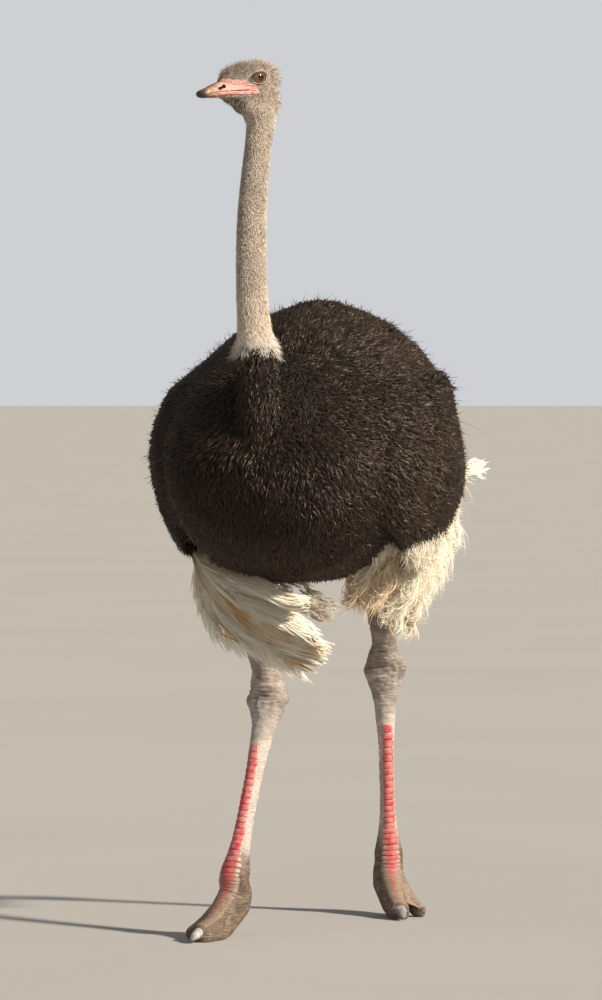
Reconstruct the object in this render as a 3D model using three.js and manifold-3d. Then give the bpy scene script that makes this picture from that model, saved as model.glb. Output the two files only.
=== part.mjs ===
// A male ostrich at a walk, life size, as a still display model.
// Millimetres, +Z up. The bird walks towards -Y, so its left side is +X, and z = 0 is the ground under its soles.
import * as THREE from "three";
import { mergeVertices } from "three/addons/utils/BufferGeometryUtils.js";
import Module from "manifold-3d";

const wasm = await Module();
wasm.setup();

// ---------------------------------------------------------------- driving dimensions
const GAP = 0.4; // clear space between neighbouring pieces
const BLUNT = 0.14; // size of a rounded end's last ring, as a share of the full ring

const KNEE = { left: [147, 148, 1030], right: [-138, -177, 1045] };
const HOCK = { left: [84, 415, 615], right: [-93, -18, 566] };
const BALL = { left: [82, 467, 131], right: [-126, -210, 139] }; // joint between shank and toes
const FOOT_TURN = { left: 25, right: -16 }; // degrees, turned out to either side

const HEAD_TURN = -43; // degrees, towards the bird's right
const HEAD_DIP = 8; // degrees, bill down
const HEAD_AT = [-18.5, -440, 2024]; // midway between the eyes
const EYE_RADIUS = 20.5;
const EYE_OUT = 25; // eye centre from the middle of the head
const EYE_SQUASH = 0.92; // the globe is a little flatter along its axis

const AXIS_X = new THREE.Vector3(1, 0, 0);
const AXIS_Y = new THREE.Vector3(0, 1, 0);
const AXIS_Z = new THREE.Vector3(0, 0, 1);
const vector = (p) => new THREE.Vector3(...p);

// ---------------------------------------------------------------- materials
const finish = (color, roughness) => new THREE.MeshStandardMaterial({ color, roughness, metalness: 0 });
const FINISH = {
  blackPlumage: finish(0x1d1715, 0.75),
  whitePlume: finish(0xe6dcc6, 0.8),
  tailPlume: finish(0xb59b7c, 0.8),
  neckDown: finish(0xa8977f, 0.85),
  bareSkin: finish(0x9b938d, 0.6),
  shin: finish(0xd9c9bd, 0.5),
  foot: finish(0x7c6c58, 0.65),
  bill: finish(0xc99484, 0.45),
  claw: finish(0x4a4038, 0.35),
  eye: finish(0x3a2413, 0.08),
};

// ---------------------------------------------------------------- forms
// A form is a row of rings strung on a smooth curve. Each key holds a ring's centre (at) and its half sizes:
// wide to either side, over towards (side x travel), and under the opposite way.
class Form {
  constructor(keys, { side = AXIS_X, sides = 20, squareOver = 2, squareUnder = squareOver } = {}) {
    this.centres = new THREE.CatmullRomCurve3(keys.map((k) => vector(k.at)));
    this.sizes = new THREE.CatmullRomCurve3(
      keys.map((k) => new THREE.Vector3(k.wide, k.over, k.under ?? k.over)),
      false,
      "catmullrom",
    );
    this.side = side;
    this.sides = sides;
    this.powers = { over: 2 / squareOver, under: 2 / squareUnder };
  }

  // The stretch of the form between two places (0 to 1), as a closed geometry. A rounded end closes over `round` of
  // the form's length; any other end is a flat face square to the curve. `grow` swells the stretch on every side.
  stretch({ from = 0, to = 1, rings = 12, roundFrom = 0, roundTo = 0, grow = 0 }) {
    const geometry = new THREE.CylinderGeometry(1, 1, 1, this.sides, rings);
    const length = this.centres.getLength();
    const [start, end] = [from - grow / length, to + grow / length];
    const place = new THREE.Vector3();
    const position = geometry.attributes.position;
    for (let i = 0; i < position.count; i++) {
      const t = spread(position.getY(i) + 0.5, roundFrom > 0, roundTo > 0) * (end - start) + start;
      const inside = THREE.MathUtils.clamp(t, 0, 1);
      const travel = this.centres.getTangent(inside);
      const across = this.side.clone().addScaledVector(travel, -this.side.dot(travel)).normalize();
      const over = across.clone().cross(travel);
      const size = this.sizes.getPoint(inside);
      const close = dome(t - start, roundFrom) * dome(end - t, roundTo);
      const [sine, cosine] = [position.getX(i), position.getZ(i)].map((v) => (Math.abs(v) < 1e-6 ? 0 : v));
      const power = cosine > 0 ? this.powers.over : this.powers.under;
      const lift = (cosine > 0 ? size.y : size.z) + grow;
      this.centres.getPoint(inside, place);
      place.addScaledVector(travel, (t - inside) * length);
      place.addScaledVector(across, Math.sign(sine) * Math.abs(sine) ** power * (size.x + grow) * close);
      place.addScaledVector(over, Math.sign(cosine) * Math.abs(cosine) ** power * lift * close);
      position.setXYZ(i, ...place);
    }
    return geometry;
  }
}

// Rings crowd towards a rounded end, as the lines of latitude do on a ball seen from the side.
function spread(t, roundStart, roundEnd) {
  if (roundStart && roundEnd) return (1 - Math.cos(Math.PI * t)) / 2;
  if (roundStart) return 1 - Math.cos((Math.PI / 2) * t);
  if (roundEnd) return Math.sin((Math.PI / 2) * t);
  return t;
}

// Ring size near a rounded end: a quarter ellipse over the length `round`, then full size.
function dome(distance, round) {
  if (round <= 0 || distance >= round) return 1;
  const short = 1 - Math.max(distance, 0) / round;
  return Math.max(Math.sqrt(1 - short * short), BLUNT);
}

// ---------------------------------------------------------------- solids and meshes
function solid(geometry) {
  const bare = new THREE.BufferGeometry().setAttribute("position", geometry.attributes.position);
  bare.setIndex(geometry.index);
  const merged = mergeVertices(bare, 1e-3);
  return new wasm.Manifold(
    new wasm.Mesh({
      numProp: 3,
      vertProperties: merged.attributes.position.array,
      triVerts: new Uint32Array(merged.index.array),
    }),
  );
}

function mesh(name, body, material) {
  const { numProp, vertProperties, triVerts } = body.getMesh();
  const points = new Float32Array((vertProperties.length / numProp) * 3);
  for (let i = 0; i < points.length / 3; i++) points.set(vertProperties.subarray(i * numProp, i * numProp + 3), i * 3);
  const geometry = new THREE.BufferGeometry().setAttribute("position", new THREE.BufferAttribute(points, 3));
  geometry.setIndex(new THREE.BufferAttribute(triVerts, 1));
  geometry.computeVertexNormals();
  const made = new THREE.Mesh(geometry, material.clone());
  made.name = name;
  return made;
}

// `body` less every cutter, keeping its largest piece where a cut leaves crumbs.
function cut(body, cutters) {
  const left = cutters.reduce((rest, cutter) => rest.subtract(cutter), body);
  return left.decompose().sort((a, b) => b.volume() - a.volume())[0];
}

const mirrored = ([x, y, z]) => [-x, y, z];
const SIDES = ["left", "right"];
const onSide = (name, point) => (name === "left" ? point : mirrored(point));

// ---------------------------------------------------------------- trunk
const TRUNK = new Form(
  [
    { at: [0, -515, 1090], wide: 150, over: 115, under: 112 },
    { at: [0, -440, 1100], wide: 212, over: 165, under: 186 },
    { at: [0, -320, 1125], wide: 268, over: 240, under: 273 },
    { at: [0, -160, 1150], wide: 303, over: 313, under: 313 },
    { at: [0, 20, 1160], wide: 320, over: 342, under: 320 },
    { at: [0, 190, 1165], wide: 322, over: 347, under: 302 },
    { at: [0, 340, 1175], wide: 298, over: 308, under: 262 },
    { at: [0, 470, 1190], wide: 240, over: 233, under: 205 },
    { at: [0, 580, 1205], wide: 165, over: 150, under: 140 },
  ],
  { sides: 24, squareOver: 1.9, squareUnder: 2.2 },
);
const trunkShape = (grow) => solid(TRUNK.stretch({ rings: 15, roundFrom: 0.16, roundTo: 0.22, grow }));

// ---------------------------------------------------------------- neck
const NECK = new Form(
  [
    { at: [0, -340, 1025], wide: 100, over: 105, under: 120 },
    { at: [0, -418, 1135], wide: 78, over: 72, under: 90 },
    { at: [2, -452, 1255], wide: 60, over: 52, under: 66 },
    { at: [2, -461, 1365], wide: 47, over: 41, under: 46 },
    { at: [-5, -468, 1455], wide: 37, over: 36, under: 38 },
    { at: [-10, -469, 1540], wide: 36, over: 35, under: 37 },
    { at: [-12, -465, 1625], wide: 36, over: 35, under: 36 },
    { at: [-13, -455, 1715], wide: 34, over: 33, under: 34 },
    { at: [-9, -440, 1810], wide: 32, over: 32, under: 33 },
    { at: [-4, -427, 1880], wide: 32, over: 32, under: 33 },
    { at: [0, -421, 1930], wide: 35, over: 34, under: 36 },
  ],
  { sides: 16 },
);
const NECK_PARTS = [
  { name: "neck_base", from: 0, to: 0.33, rings: 7, material: FINISH.blackPlumage },
  { name: "neck_lower", from: 0.33, to: 0.56, rings: 5, material: FINISH.neckDown },
  { name: "neck_middle", from: 0.56, to: 0.79, rings: 5, material: FINISH.neckDown },
];
const UPPER_NECK = { name: "neck_upper", from: 0.79, to: 1, rings: 5, material: FINISH.neckDown };
const neckLength = NECK.centres.getLength();
const neckSolid = ({ from, to, rings }) =>
  solid(NECK.stretch({ from: from + GAP / neckLength, to, rings, roundFrom: from === 0 ? 0.05 : 0 }));
const NECK_TOP = 1936; // height of the cut between neck and head

// ---------------------------------------------------------------- head
// Head pieces are modelled level, facing -Y with the point between the eyes at the origin, then dipped and turned.
const headPose = new THREE.Matrix4()
  .makeRotationZ(THREE.MathUtils.degToRad(HEAD_TURN))
  .multiply(new THREE.Matrix4().makeRotationX(THREE.MathUtils.degToRad(HEAD_DIP)))
  .setPosition(...HEAD_AT);
const headPart = (geometry) => solid(geometry.applyMatrix4(headPose));

const SKULL = new Form(
  [
    { at: [0, -90, 0], wide: 15, over: 21, under: 10 },
    { at: [0, -72, 0], wide: 22, over: 32, under: 20 },
    { at: [0, -50, 0], wide: 29, over: 40, under: 32 },
    { at: [0, -28, -2], wide: 35, over: 45, under: 38 },
    { at: [0, -4, -4], wide: 38, over: 48, under: 42 },
    { at: [0, 20, -4], wide: 38, over: 48, under: 44 },
    { at: [0, 40, -6], wide: 36, over: 43, under: 44 },
    { at: [0, 56, -8], wide: 31, over: 34, under: 40 },
    { at: [0, 68, -10], wide: 24, over: 24, under: 30 },
  ],
  { sides: 18, squareOver: 2.2 },
);
const BILL = new Form(
  [
    { at: [0, -151, -22], wide: 12, over: 9, under: 9 },
    { at: [0, -140, -20.5], wide: 17, over: 12, under: 12 },
    { at: [0, -120, -20], wide: 20, over: 16.5, under: 13.5 },
    { at: [0, -98, -21], wide: 23, over: 23, under: 13 },
    { at: [0, -78, -23], wide: 26, over: 30, under: 13.5 },
    { at: [0, -56, -26], wide: 30, over: 33, under: 14 },
    { at: [0, -30, -29], wide: 33, over: 36, under: 14 },
  ],
  { sides: 18, squareOver: 2, squareUnder: 2.3 },
);
// The throat rises out of the top of the neck into the skull.
const THROAT = new Form(
  [
    { at: [-2, -423, 1905], wide: 30, over: 29, under: 29 },
    { at: [-3, -424, 1925], wide: 35, over: 34, under: 36 },
    { at: [-4, -425, 1945], wide: 37, over: 41, under: 47 },
    { at: [-8, -429, 1962], wide: 38, over: 55, under: 57 },
    { at: [-10, -431, 1980], wide: 37, over: 66, under: 60 },
    { at: [-11, -432, 2000], wide: 34, over: 60, under: 52 },
  ],
  { side: AXIS_X.clone().applyAxisAngle(AXIS_Z, THREE.MathUtils.degToRad(HEAD_TURN)), sides: 16 },
);
const MOUTH = new Form(
  [
    { at: [0, -165, -25], wide: 30, over: 0.45 },
    { at: [0, -130, -21.5], wide: 30, over: 0.45 },
    { at: [0, -95, -20.5], wide: 34, over: 0.45 },
    { at: [0, -60, -22.5], wide: 40, over: 0.45 },
    { at: [0, -5, -32], wide: 46, over: 0.45 },
  ],
  { sides: 8, squareOver: 12 },
);
const billShape = (grow) => BILL.stretch({ rings: 10, roundFrom: 0.14, grow });
const eyeShape = (side, grow) =>
  new THREE.SphereGeometry(EYE_RADIUS + grow, 18, 10)
    .rotateZ(Math.PI / 2)
    .scale(EYE_SQUASH, 1, 1)
    .translate((side === "left" ? 1 : -1) * EYE_OUT, 0, 0);

const bill = headPart(billShape(0));
const mouth = headPart(MOUTH.stretch({ rings: 6 }));
const billHalves = bill.subtract(mouth).decompose();
const headUp = (body) => {
  const box = body.boundingBox();
  return box.min[2] + box.max[2];
};
const [billUpper, billLower] = billHalves.sort((a, b) => b.volume() - a.volume()).slice(0, 2)
  .sort((a, b) => headUp(b) - headUp(a));
const throat = solid(THROAT.stretch({ rings: 5 }));
const skull = headPart(SKULL.stretch({ rings: 12, roundFrom: 0.15, roundTo: 0.25 }));
const crown = neckSolid(UPPER_NECK).add(throat).add(skull);
const upperNeck = crown.trimByPlane([0, 0, -1], -NECK_TOP);
const head = cut(crown.trimByPlane([0, 0, 1], NECK_TOP + GAP), [
  headPart(billShape(GAP)),
  ...SIDES.map((side) => headPart(eyeShape(side, GAP))),
]);

// ---------------------------------------------------------------- legs
// Ring sizes down a leg: `along` is 0 at the knee, 1 at the hock and 2 at the ball of the foot.
const LEG_RINGS = [
  { along: -0.22, wide: 84, back: 128, front: 96 },
  { along: 0.05, wide: 88, back: 120, front: 92 },
  { along: 0.3, wide: 74, back: 92, front: 74 },
  { along: 0.52, wide: 54, back: 64, front: 52 },
  { along: 0.74, wide: 37, back: 45, front: 36 },
  { along: 0.88, wide: 35, back: 43, front: 33 },
  { along: 1.0, wide: 50, back: 47, front: 39 },
  { along: 1.08, wide: 43, back: 46, front: 34 },
  { along: 1.2, wide: 27, back: 36, front: 25 },
  { along: 1.42, wide: 19, back: 30, front: 22 },
  { along: 1.68, wide: 18.5, back: 29, front: 22 },
  { along: 1.84, wide: 23, back: 31, front: 25 },
  { along: 1.94, wide: 34, back: 35, front: 31 },
  { along: 2.03, wide: 39, back: 37, front: 34 },
];
const LEG_PARTS = [
  { name: "thigh", from: 0, to: 0.33, rings: 6, material: FINISH.bareSkin },
  { name: "hock", from: 0.33, to: 0.61, rings: 6, material: FINISH.bareSkin },
  { name: "shin", from: 0.61, to: 1, rings: 8, material: FINISH.shin },
];

function legForm(side) {
  const [knee, hock, ball] = [KNEE, HOCK, BALL].map((joint) => vector(joint[side]));
  const turn = THREE.MathUtils.degToRad(FOOT_TURN[side]);
  const keys = LEG_RINGS.map(({ along, wide, back, front }) => {
    const at = along <= 1 ? knee.clone().lerp(hock, along) : hock.clone().lerp(ball, along - 1);
    return { at: at.toArray(), wide, over: back, under: front };
  });
  return new Form(keys, { side: AXIS_X.clone().applyAxisAngle(AXIS_Z, turn), sides: 16 });
}

function legPieces(side) {
  const form = legForm(side);
  const length = form.centres.getLength();
  return LEG_PARTS.map(({ name, from, to, rings, material }) => {
    const shape = (grow) =>
      form.stretch({
        from: from === 0 ? 0 : from + GAP / length,
        to,
        rings,
        roundFrom: from === 0 ? 0.08 : 0,
        roundTo: to === 1 ? 0.05 : 0,
        grow,
      });
    return { name: `${name}_${side}`, body: solid(shape(0)), room: solid(shape(GAP)), material };
  });
}

// ---------------------------------------------------------------- feet
// A foot is modelled under its ball joint, pointing at -Y, with the ground at z = 0.
const TOE_MAIN = new Form(
  [
    { at: [0, 30, 104], wide: 28, over: 26, under: 30 },
    { at: [0, 8, 94], wide: 39, over: 36, under: 44 },
    { at: [0, -26, 76], wide: 36, over: 35, under: 52 },
    { at: [0, -62, 51], wide: 29, over: 29, under: 54 },
    { at: [0, -100, 32], wide: 26, over: 23, under: 40 },
    { at: [0, -140, 24], wide: 25, over: 20, under: 30 },
    { at: [0, -162, 20], wide: 20, over: 15, under: 24 },
  ],
  { side: AXIS_X.clone().negate(), sides: 16, squareUnder: 2.6 },
);
const TOE_OUTER = new Form(
  [
    { at: [12, 4, 96], wide: 20, over: 18, under: 20 },
    { at: [24, -18, 79], wide: 19, over: 17, under: 20 },
    { at: [38, -42, 53], wide: 15, over: 15, under: 20 },
    { at: [51, -64, 31], wide: 14, over: 14, under: 24 },
    { at: [62, -86, 18], wide: 14, over: 13, under: 24 },
    { at: [69, -102, 13], wide: 10, over: 9, under: 18 },
  ],
  { side: new THREE.Vector3(-0.82, -0.57, 0), sides: 12, squareUnder: 2.6 },
);
const CLAW = new Form(
  [
    { at: [0, -136, 29], wide: 15, over: 11, under: 12 },
    { at: [0, -156, 24], wide: 14.5, over: 11, under: 12 },
    { at: [0, -176, 15.5], wide: 11, over: 8, under: 9 },
    { at: [0, -193, 7.5], wide: 5, over: 3.5, under: 4 },
  ],
  { side: AXIS_X.clone().negate(), sides: 12 },
);
const onGround = (body, low = 0) => body.trimByPlane([0, 0, 1], low);
const clawShape = (grow) => CLAW.stretch({ rings: 6, roundFrom: 0.1, roundTo: 0.12, grow });

function foot(side, shinRoom) {
  const group = new THREE.Group();
  const [x, y] = BALL[side];
  group.position.set(x, y, 0);
  group.rotation.z = THREE.MathUtils.degToRad(FOOT_TURN[side]);
  group.updateMatrixWorld(true);
  const out = side === "left" ? 1 : -1;
  const inverse = group.matrixWorld.clone().invert();
  const shinHere = shinRoom.transform(inverse.toArray());
  const claw = onGround(solid(clawShape(0)), GAP);
  const clawRoom = solid(clawShape(GAP));
  const mainShape = (grow) => solid(TOE_MAIN.stretch({ rings: 10, roundFrom: 0.12, roundTo: 0.1, grow }));
  const outerForm = out > 0 ? TOE_OUTER : mirrorForm(TOE_OUTER);
  const outer = solid(outerForm.stretch({ rings: 8, roundFrom: 0.12, roundTo: 0.14 }));
  group.add(mesh(`toe_main_${side}`, cut(onGround(mainShape(0)), [shinHere, clawRoom]), FINISH.foot));
  group.add(mesh(`toe_outer_${side}`, cut(onGround(outer), [shinHere, mainShape(GAP)]), FINISH.foot));
  group.add(mesh(`claw_${side}`, claw, FINISH.claw));
  return group;
}

function mirrorForm(form) {
  const copy = Object.assign(Object.create(Form.prototype), form);
  copy.centres = form.centres.clone();
  copy.centres.points.forEach((p) => p.set(-p.x, p.y, p.z));
  copy.side = form.side.clone().setY(-form.side.y);
  return copy;
}

// ---------------------------------------------------------------- wings
const WING_KEYS = [
  { at: [203, -330, 1180], wide: 56, over: 105, under: 120 },
  { at: [264, -220, 1150], wide: 66, over: 160, under: 185 },
  { at: [295, -60, 1122], wide: 70, over: 200, under: 230 },
  { at: [292, 110, 1125], wide: 67, over: 220, under: 232 },
  { at: [274, 260, 1125], wide: 63, over: 190, under: 180 },
  { at: [236, 390, 1130], wide: 56, over: 130, under: 110 },
];
const WING_TUCK = 5; // degrees, the lower edge drawn in under the body
const wingForm = (side) =>
  new Form(WING_KEYS.map((k) => ({ ...k, at: onSide(side, k.at) })), {
    side: AXIS_X.clone().applyAxisAngle(AXIS_Y, THREE.MathUtils.degToRad(side === "left" ? WING_TUCK : -WING_TUCK)),
    sides: 20,
    squareOver: 1.75,
    squareUnder: 1.6,
  });
const wingShape = (side, grow) => solid(wingForm(side).stretch({ rings: 12, roundFrom: 0.2, roundTo: 0.25, grow }));

// The body is modelled whole, and each folded wing is parted from it by the wall of an upright oval.
const WING_OVAL = { centre: [0, 25, 1118], long: 335, tall: 200, inner: 165, outer: 420 };
function wingOval(side, grow) {
  const { centre, long, tall, inner, outer } = WING_OVAL;
  const deep = outer - inner + 2 * grow;
  const geometry = new THREE.CylinderGeometry(1, 1, deep, 36, 1)
    .rotateZ(Math.PI / 2)
    .scale(1, long + grow, tall + grow)
    .translate(...centre)
    .translate(((side === "left" ? 1 : -1) * (inner + outer)) / 2, 0, 0);
  return solid(geometry);
}
const bodyShape = (grow) => trunkShape(grow).add(wingShape("left", grow)).add(wingShape("right", grow));
const body = bodyShape(0);
const bodyRoom = bodyShape(GAP);

// ---------------------------------------------------------------- long plumes of the wings and tail
// A plume is a curved lobe. `face` is the direction across its width, and `thick` its half thickness at the root.
const PLUMES = {
  plumes_left_tuft: [
    { path: [[288, 300, 1102], [303, 385, 1093], [315, 450, 1084], [325, 505, 1076]], width: [20, 25, 21, 9], thick: 14 },
  ],
  plumes_left_rear: [
    { path: [[258, 250, 1000], [250, 285, 940], [236, 300, 880], [208, 305, 815]], width: [64, 68, 54, 20], thick: 26 },
  ],
  plumes_left_middle: [
    { path: [[262, 110, 960], [234, 125, 880], [208, 138, 800], [198, 145, 705]], width: [46, 56, 50, 18], thick: 24 },
  ],
  plumes_left_front: [
    { path: [[252, 40, 940], [232, 36, 890], [200, 32, 840], [166, 28, 800]], width: [40, 46, 40, 15], thick: 26 },
    { path: [[196, -30, 915], [172, -34, 865], [144, -34, 825], [110, -30, 797]], width: [40, 46, 36, 14], thick: 26 },
  ],
  plumes_right_front: [
    {
      path: [[-292, 60, 940], [-236, -80, 832], [-158, -160, 742], [-50, -200, 702], [84, -192, 637]],
      width: [34, 42, 40, 36, 16],
      thick: 14,
    },
    {
      path: [[-280, -20, 935], [-205, -130, 850], [-104, -205, 776], [4, -226, 730], [114, -212, 683]],
      width: [34, 40, 38, 34, 16],
      thick: 14,
    },
    {
      path: [[-255, -80, 920], [-172, -180, 860], [-76, -232, 808], [24, -250, 774], [112, -238, 751]],
      width: [32, 38, 36, 30, 14],
      thick: 14,
    },
    {
      path: [[-222, -140, 895], [-132, -222, 863], [-32, -262, 837], [70, -270, 812]],
      width: [30, 34, 30, 14],
      thick: 14,
    },
  ],
  plumes_right_rear: [
    { path: [[-276, 230, 1000], [-282, 300, 930], [-262, 335, 860], [-222, 345, 790]], width: [74, 84, 68, 24], thick: 26 },
  ],
  plumes_right_tuft: [
    { path: [[-288, 300, 1110], [-303, 385, 1096], [-314, 450, 1078], [-320, 500, 1060]], width: [26, 34, 30, 14], thick: 14 },
  ],
};
const PLUME_FACES = {
  tuft: [0, 0.1, 1],
  rear: [0.4, 0.9, 0],
  middle: [1, 0.25, 0],
  front: [0.3, 0, 1],
};
const LEFT_FRONT_FACE = [1, 0.3, 0.35];

// The tail is a drooping fan of lobes: `spread` is the sideways place of each lobe's middle.
const TAIL_LOBES = [-118, -60, 0, 60, 118].map((spread) => ({
  path: [
    [spread * 0.5, 505, 1225],
    [spread * 0.85, 630, 1205],
    [spread * 1.15, 745, 1128],
    [spread * 1.3, 830 - Math.abs(spread) * 0.25, 1005 - Math.abs(spread) * 0.2],
  ],
  width: [66, 72, 62, 26],
  thick: 78,
}));

function lobe({ path, width, thick }, face, grow) {
  const last = path.length - 1;
  const keys = path.map((at, i) => ({ at, wide: width[i], over: thick * (1 - 0.65 * (i / last)) }));
  const form = new Form(keys, { side: vector(face).normalize(), sides: 8 });
  return solid(form.stretch({ rings: 6, roundFrom: 0.1, roundTo: 0.18, grow }));
}
const joined = (bodies) => bodies.reduce((sum, body) => sum.add(body));
const lobes = (specs, face, grow) => joined(specs.map((spec) => lobe(spec, face, grow)));

function plumeFace(name) {
  const [, side, place] = name.split("_");
  if (place === "front" && side === "left") return LEFT_FRONT_FACE;
  return onSide(side, PLUME_FACES[place]);
}

// ---------------------------------------------------------------- assembly
const ostrich = new THREE.Group();
const add = (name, body, material) => ostrich.add(mesh(name, body, material));

add("trunk", cut(body, SIDES.map((side) => wingOval(side, GAP))), FINISH.blackPlumage);
for (const side of SIDES) add(`wing_${side}`, body.intersect(wingOval(side, 0)), FINISH.blackPlumage);
for (const part of NECK_PARTS) {
  const length = neckSolid(part);
  add(part.name, part.from === 0 ? cut(length, [bodyRoom]) : length, part.material);
}
add(UPPER_NECK.name, upperNeck, UPPER_NECK.material);
add("head", head, FINISH.neckDown);
add("bill_upper", billUpper, FINISH.bill);
add("bill_lower", billLower, FINISH.bill);
for (const side of SIDES) add(`eye_${side}`, headPart(eyeShape(side, 0)), FINISH.eye);

const rooms = [bodyRoom]; // swollen copies that later pieces are cut clear of
for (const side of SIDES) {
  const [thigh, hock, shin] = legPieces(side);
  add(thigh.name, cut(thigh.body, rooms), thigh.material);
  add(hock.name, hock.body, hock.material);
  add(shin.name, shin.body, shin.material);
  ostrich.add(foot(side, shin.room));
  rooms.push(thigh.room, hock.room);
}
add("tail", cut(lobes(TAIL_LOBES, [1, 0, 0], 0), rooms), FINISH.tailPlume);
for (const [name, specs] of Object.entries(PLUMES)) {
  add(name, cut(lobes(specs, plumeFace(name), 0), rooms), FINISH.whitePlume);
  rooms.push(lobes(specs, plumeFace(name), GAP));
}

// The origin is on the ground, under the middle of the bird's box.
const box = new THREE.Box3().setFromObject(ostrich);
const middle = box.getCenter(new THREE.Vector3());
ostrich.position.set(-middle.x, -middle.y, -box.min.z);

export default ostrich;
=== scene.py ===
"""A male ostrich at a walk, as a still display model: skin, feathers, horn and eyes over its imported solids.

Metres, +Z up. The bird walks towards -Y, so its left side is +X, and z = 0 is the floor under its soles."""

import math

import bmesh
import bpy
import numpy as np
from mathutils import Matrix, Vector
from mathutils.bvhtree import BVHTree


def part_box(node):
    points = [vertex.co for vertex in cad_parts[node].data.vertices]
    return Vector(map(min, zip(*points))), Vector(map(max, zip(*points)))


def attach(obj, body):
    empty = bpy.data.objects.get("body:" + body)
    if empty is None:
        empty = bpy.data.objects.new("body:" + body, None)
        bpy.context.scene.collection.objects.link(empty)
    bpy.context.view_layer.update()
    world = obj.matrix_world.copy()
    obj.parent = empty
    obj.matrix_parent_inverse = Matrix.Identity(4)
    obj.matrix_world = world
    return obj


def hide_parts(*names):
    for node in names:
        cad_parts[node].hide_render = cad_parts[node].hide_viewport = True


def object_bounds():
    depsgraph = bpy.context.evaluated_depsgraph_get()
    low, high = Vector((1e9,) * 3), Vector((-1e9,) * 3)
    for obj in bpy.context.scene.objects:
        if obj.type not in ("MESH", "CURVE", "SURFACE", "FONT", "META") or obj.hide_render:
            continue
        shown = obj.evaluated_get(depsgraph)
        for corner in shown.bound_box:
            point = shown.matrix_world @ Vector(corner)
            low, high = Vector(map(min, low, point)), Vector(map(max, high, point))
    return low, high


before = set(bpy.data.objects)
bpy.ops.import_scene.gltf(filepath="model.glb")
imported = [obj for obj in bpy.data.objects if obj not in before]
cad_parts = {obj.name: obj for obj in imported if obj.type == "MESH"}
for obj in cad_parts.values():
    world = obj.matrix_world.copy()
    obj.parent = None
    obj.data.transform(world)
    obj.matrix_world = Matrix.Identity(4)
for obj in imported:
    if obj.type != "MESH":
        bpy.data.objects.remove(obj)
CAD_BOX = [list(corner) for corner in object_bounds()]

bl_info = {
    "name": "Male Ostrich",
    "version": (1, 0, 0),
    "blender": (4, 5, 0),
    "location": "View3D > Sidebar > Ostrich",
    "description": "Dresses the ostrich's solids with skin, feathers, horn and eyes",
    "category": "Object",
}

MM = 0.001
BODY = "root"
BAKE_MAP = "OFBake"
PATCH = 0.003  # width of a tuft's patch on the unwrapped skin
UP = np.array([0.0, 0.0, 1.0])
SHRINK, SWELL = 0.5, -0.53  # how far a round of smoothing moves the points in, then out again

SIDES = ("left", "right")
LEG_NODES = [f"{part}_{side}" for side in SIDES for part in ("thigh", "hock", "shin")]
TOE_NODES = [f"{part}_{side}" for side in SIDES for part in ("toe_main", "toe_outer")]
CLAW_NODES = [f"claw_{side}" for side in SIDES]
EYE_NODES = [f"eye_{side}" for side in SIDES]
BILL_NODES = ["bill_upper", "bill_lower"]
TRUNK_NODES = ["trunk", "wing_left", "wing_right"]
NECK_NODES = ["neck_lower", "neck_middle", "neck_upper"]
FLESH_NODES = TRUNK_NODES + ["neck_base", "head"] + NECK_NODES + LEG_NODES + TOE_NODES


# ---- small maths
def unit(vectors):
    return vectors / np.maximum(np.linalg.norm(vectors, axis=-1, keepdims=True), 1e-9)


def bell(value, middle, half):
    """1 at the middle, falling away smoothly on both sides."""
    return np.exp(-(((value - middle) / half) ** 2))


def ease(value, low, high):
    """0 below low, 1 above high, smooth in between."""
    t = np.clip((value - low) / (high - low), 0, 1)
    return t * t * (3 - 2 * t)


def along_surface(vectors, normals):
    """The vectors with the part along each normal taken out, at length 1."""
    return unit(vectors - (vectors * normals).sum(-1, keepdims=True) * normals)


def lumps(points, size, seed=0):
    """Smooth noise from 0 to 1 at each point, with lumps about size across."""
    cells = points / size
    low = np.floor(cells).astype(np.int64)
    t = cells - low
    t = t * t * (3 - 2 * t)
    total = np.zeros(len(points))
    for corner in np.ndindex(2, 2, 2):
        at = low + corner
        mixed = at[:, 0] * 73856093 ^ at[:, 1] * 19349663 ^ at[:, 2] * 83492791 ^ (seed * 2654435761)
        mixed = (mixed ^ (mixed >> 13)) * 1274126177 & 0xFFFFFFF
        share = np.prod(np.where(corner, t, 1 - t), axis=1)
        total += share * (mixed % 65536) / 65535
    return total


def to_polyline(points, line):
    """Distance from each point to a line of straight pieces, and the nearest place along it (0 to 1)."""
    line = np.asarray(line, float)
    best = np.full(len(points), 1e9)
    where = np.zeros(len(points))
    for index, (start, end) in enumerate(zip(line[:-1], line[1:])):
        span = end - start
        t = np.clip(((points - start) @ span) / (span @ span), 0, 1)
        far = np.linalg.norm(points - start - t[:, None] * span, axis=1)
        nearer = far < best
        best[nearer] = far[nearer]
        where[nearer] = (index + t[nearer]) / (len(line) - 1)
    return best, where


def curve_through(points, steps):
    """A smooth curve through the points: its places and travel directions."""
    points = np.asarray(points, float)
    padded = np.vstack([2 * points[0] - points[1], points, 2 * points[-1] - points[-2]])
    t = np.linspace(0, len(points) - 1, steps)
    i = np.minimum(t.astype(int), len(points) - 2)
    u = (t - i)[:, None]
    a, b, c, d = padded[i], padded[i + 1], padded[i + 2], padded[i + 3]
    places = 0.5 * (2 * b + (c - a) * u + (2 * a - 5 * b + 4 * c - d) * u**2 + (3 * b - a - 3 * c + d) * u**3)
    return places, unit(np.gradient(places, axis=0))


# ---- meshes
def arrays_of(mesh):
    mesh.calc_loop_triangles()
    points = np.empty(len(mesh.vertices) * 3, np.float32)
    mesh.vertices.foreach_get("co", points)
    triangles = np.empty(len(mesh.loop_triangles) * 3, np.int32)
    mesh.loop_triangles.foreach_get("vertices", triangles)
    return points.reshape(-1, 3).astype(float), triangles.reshape(-1, 3)


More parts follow.
